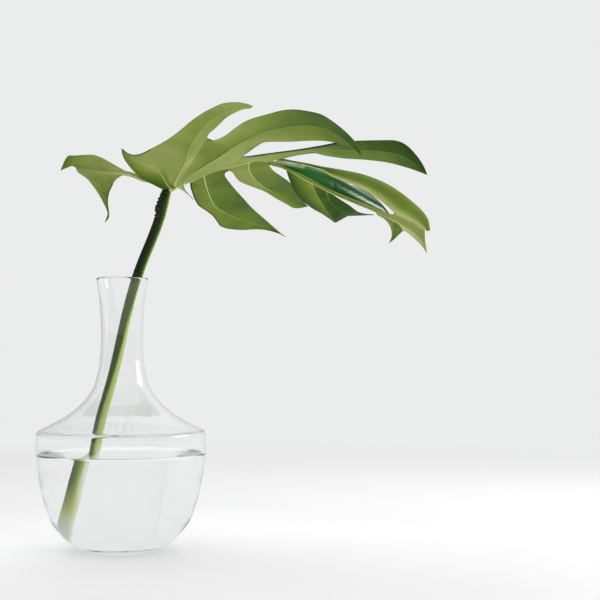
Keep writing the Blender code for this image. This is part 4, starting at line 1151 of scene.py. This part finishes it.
def sheet_normals(points, triangles):
    """The direction square to the sheet at each point, softened over its neighbours."""
    normals = [Vector((0, 0, 0)) for _ in points]
    for a, b, c in triangles:
        normal = (points[b] - points[a]).cross(points[c] - points[a])
        for v in (a, b, c):
            normals[v] += normal
    normals = [n.normalized() for n in normals]
    for _ in range(NORMAL_SOFTENING):
        soft = [n.copy() for n in normals]
        for a, b, c in triangles:
            around = normals[a] + normals[b] + normals[c]
            for v in (a, b, c):
                soft[v] += around
        normals = [n.normalized() for n in soft]
    return normals


def make_blade(finishes):
    """The sheet with its thickness, its ribs below, and the finish's maps."""
    points, heights, faces, reads = weld_sheet()
    triangles, reads = split_faces(points, faces, reads)
    normals = sheet_normals(points, triangles)
    count = len(points)
    half = BLADE_THICKNESS / 2
    solid = [p + n * (half - RIB_SHOWS_ABOVE * h) for p, n, h in zip(points, normals, heights)]
    solid += [p - n * (half + h) for p, n, h in zip(points, normals, heights)]
    shell = [list(t) for t in triangles] + [[v + count for v in reversed(t)] for t in triangles]
    shell_reads = reads + [list(reversed(read)) for read in reads]
    edges = {}
    for corners, read in zip(triangles, reads):
        for i, j in ((0, 1), (1, 2), (2, 0)):
            edges[corners[i], corners[j]] = read[i], read[j]
    for (a, b), (read_a, read_b) in edges.items():
        if (b, a) not in edges:
            shell += [[b, a, a + count], [b, a + count, b + count]]
            shell_reads += [[read_b, read_a, read_a], [read_b, read_a, read_b]]
    blade = add_piece("leaf_blade", solid, shell, finishes, 50.0)
    mesh = blade.data
    upper = len(triangles)
    mesh.polygons.foreach_set("material_index", [0 if i < upper else 1 for i in range(len(shell))])
    values = {"veins": [], "tone": [], "margin": []}
    for read in shell_reads:
        for _, away, reach, tone, margin, dark, _, pale in read:
            values["veins"] += [away, reach]
            values["tone"] += [tone, pale]
            values["margin"] += [margin, dark]
    for name, flat in values.items():
        mesh.uv_layers.new(name=name).data.foreach_set("uv", flat)
    return blade


# The finish: how cloudy its tone is, its side veins, its fine cells, how light glows through, and
# the painted shade along its margins. A tone is a share of the way from dark to pale, and a colour.
CLOUDINESS = 0.45
SIDE_VEIN_SPACING = 6.0
SIDE_VEIN_SLANT = 0.75
SIDE_VEIN_BEND = 3.0
CELL_SCALE = 700.0
GLOW_REACH = (0.8, 1.0, 0.3)
GLOW_SCALE = 0.0008
THIN_EDGE, THIN_EDGE_DARKENING = (0.5, 0.1), 0.15
RIM_COLOUR = (0.012, 0.018, 0.008, 1)
RIM_WIDTH = 1.5
UNDERSIDE_TONES = [(0.0, (0.020, 0.070, 0.005)), (0.25, (0.075, 0.145, 0.012)),
                   (0.5, (0.165, 0.245, 0.022)), (0.75, (0.26, 0.325, 0.068)),
                   (0.9, (0.31, 0.355, 0.10)), (1.0, (0.45, 0.50, 0.17))]
UPPER_TONES = [(0.0, (0.003, 0.045, 0.002)), (0.5, (0.006, 0.085, 0.004)), (1.0, (0.010, 0.10, 0.006))]


def blade_finish(name, stops, roughness, gloss, vein_colour, vein_strength, rib_strength,
                 through, relief):
    """Leaf green that runs with the tone and its painted light and shade, paler ribs, fine slanting side
    veins and painted shade along the margins.
    """
    finish, shader = start_finish(name)
    tone, paleness, _ = read_map(finish, "tone")
    away, reach, _ = read_map(finish, "veins")
    margin, dark, _ = read_map(finish, "margin")
    place = put(finish, "ShaderNodeTexCoord").outputs["Object"]
    cloud = soft_noise(finish, place, 45.0, 4.0)
    waver = maths(finish, "MULTIPLY_ADD", maths(finish, "SUBTRACT", cloud, 0.5), CLOUDINESS, tone)
    slant = maths(finish, "MULTIPLY_ADD", away, -SIDE_VEIN_SLANT, reach)
    bend = maths(finish, "MULTIPLY_ADD", cloud, SIDE_VEIN_BEND, slant)
    wave = maths(finish, "COSINE", maths(finish, "MULTIPLY", bend, 2 * math.pi / SIDE_VEIN_SPACING))
    line = remap(finish, wave, 0.93, 1.0, kind="SMOOTHSTEP")
    patchy = remap(finish, cloud, 0.4, 0.65, high=vein_strength)
    crest = remap(finish, paleness, 0.15, 0.75, kind="SMOOTHSTEP")
    pale = maths(finish, "MAXIMUM", maths(finish, "MULTIPLY", line, patchy),
                 maths(finish, "MULTIPLY", crest, rib_strength))
    colour = mix_colours(finish, pale, tone_ramp(finish, waver, stops), vein_colour)
    # Painted shade: a near-black band along the margins that a net names, where half a lobe is seen
    # edge-on in shade
    width = maths(finish, "MULTIPLY_ADD", dark, RIM_WIDTH, 0.001)
    within = maths(finish, "DIVIDE", maths(finish, "ADD", margin, 0.002), width)
    painted_rim_shade = remap(finish, within, 1.2, 0.8, kind="SMOOTHSTEP")
    thin_edge = remap(finish, margin, *THIN_EDGE, high=THIN_EDGE_DARKENING)
    colour = mix_colours(finish, maths(finish, "MAXIMUM", painted_rim_shade, thin_edge), colour, RIM_COLOUR)
    fill(finish, shader, {
        "Base Color": colour,
        "Roughness": remap(finish, cloud, 0.0, 1.0, roughness - 0.06, roughness + 0.1),
        "Specular IOR Level": gloss,
        "Subsurface Weight": through,
        "Subsurface Radius": GLOW_REACH,
        "Subsurface Scale": GLOW_SCALE})
    cells = put(finish, "ShaderNodeTexVoronoi", {"Vector": place, "Scale": CELL_SCALE},
                feature="DISTANCE_TO_EDGE").outputs["Distance"]
    add_relief(finish, shader, maths(finish, "MULTIPLY_ADD", line, 0.6, cells), relief, 0.0004)
    return finish


upper_finish = blade_finish("green_blade", UPPER_TONES, roughness=0.19, gloss=0.18,
                            vein_colour=(0.04, 0.12, 0.02, 1), vein_strength=0.05, rib_strength=0.1,
                            through=0.1, relief=0.06)
under_finish = blade_finish("green_blade_underside", UNDERSIDE_TONES, roughness=0.5, gloss=0.12,
                            vein_colour=(0.56, 0.64, 0.25, 1), vein_strength=0.06, rib_strength=1.0,
                            through=0.4, relief=0.3)
blade = make_blade([upper_finish, under_finish])
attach(blade, "root")
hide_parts("leaf_blade")

# The highlights on the leaf come from lamps that light nothing else, so that the glass stays clear
leaf_only = bpy.data.collections.new("leaf_only")
leaf_only.objects.link(blade)
for name in LEAF_LIGHTS:
    bpy.data.objects[name].light_linking.receiver_collection = leaf_only
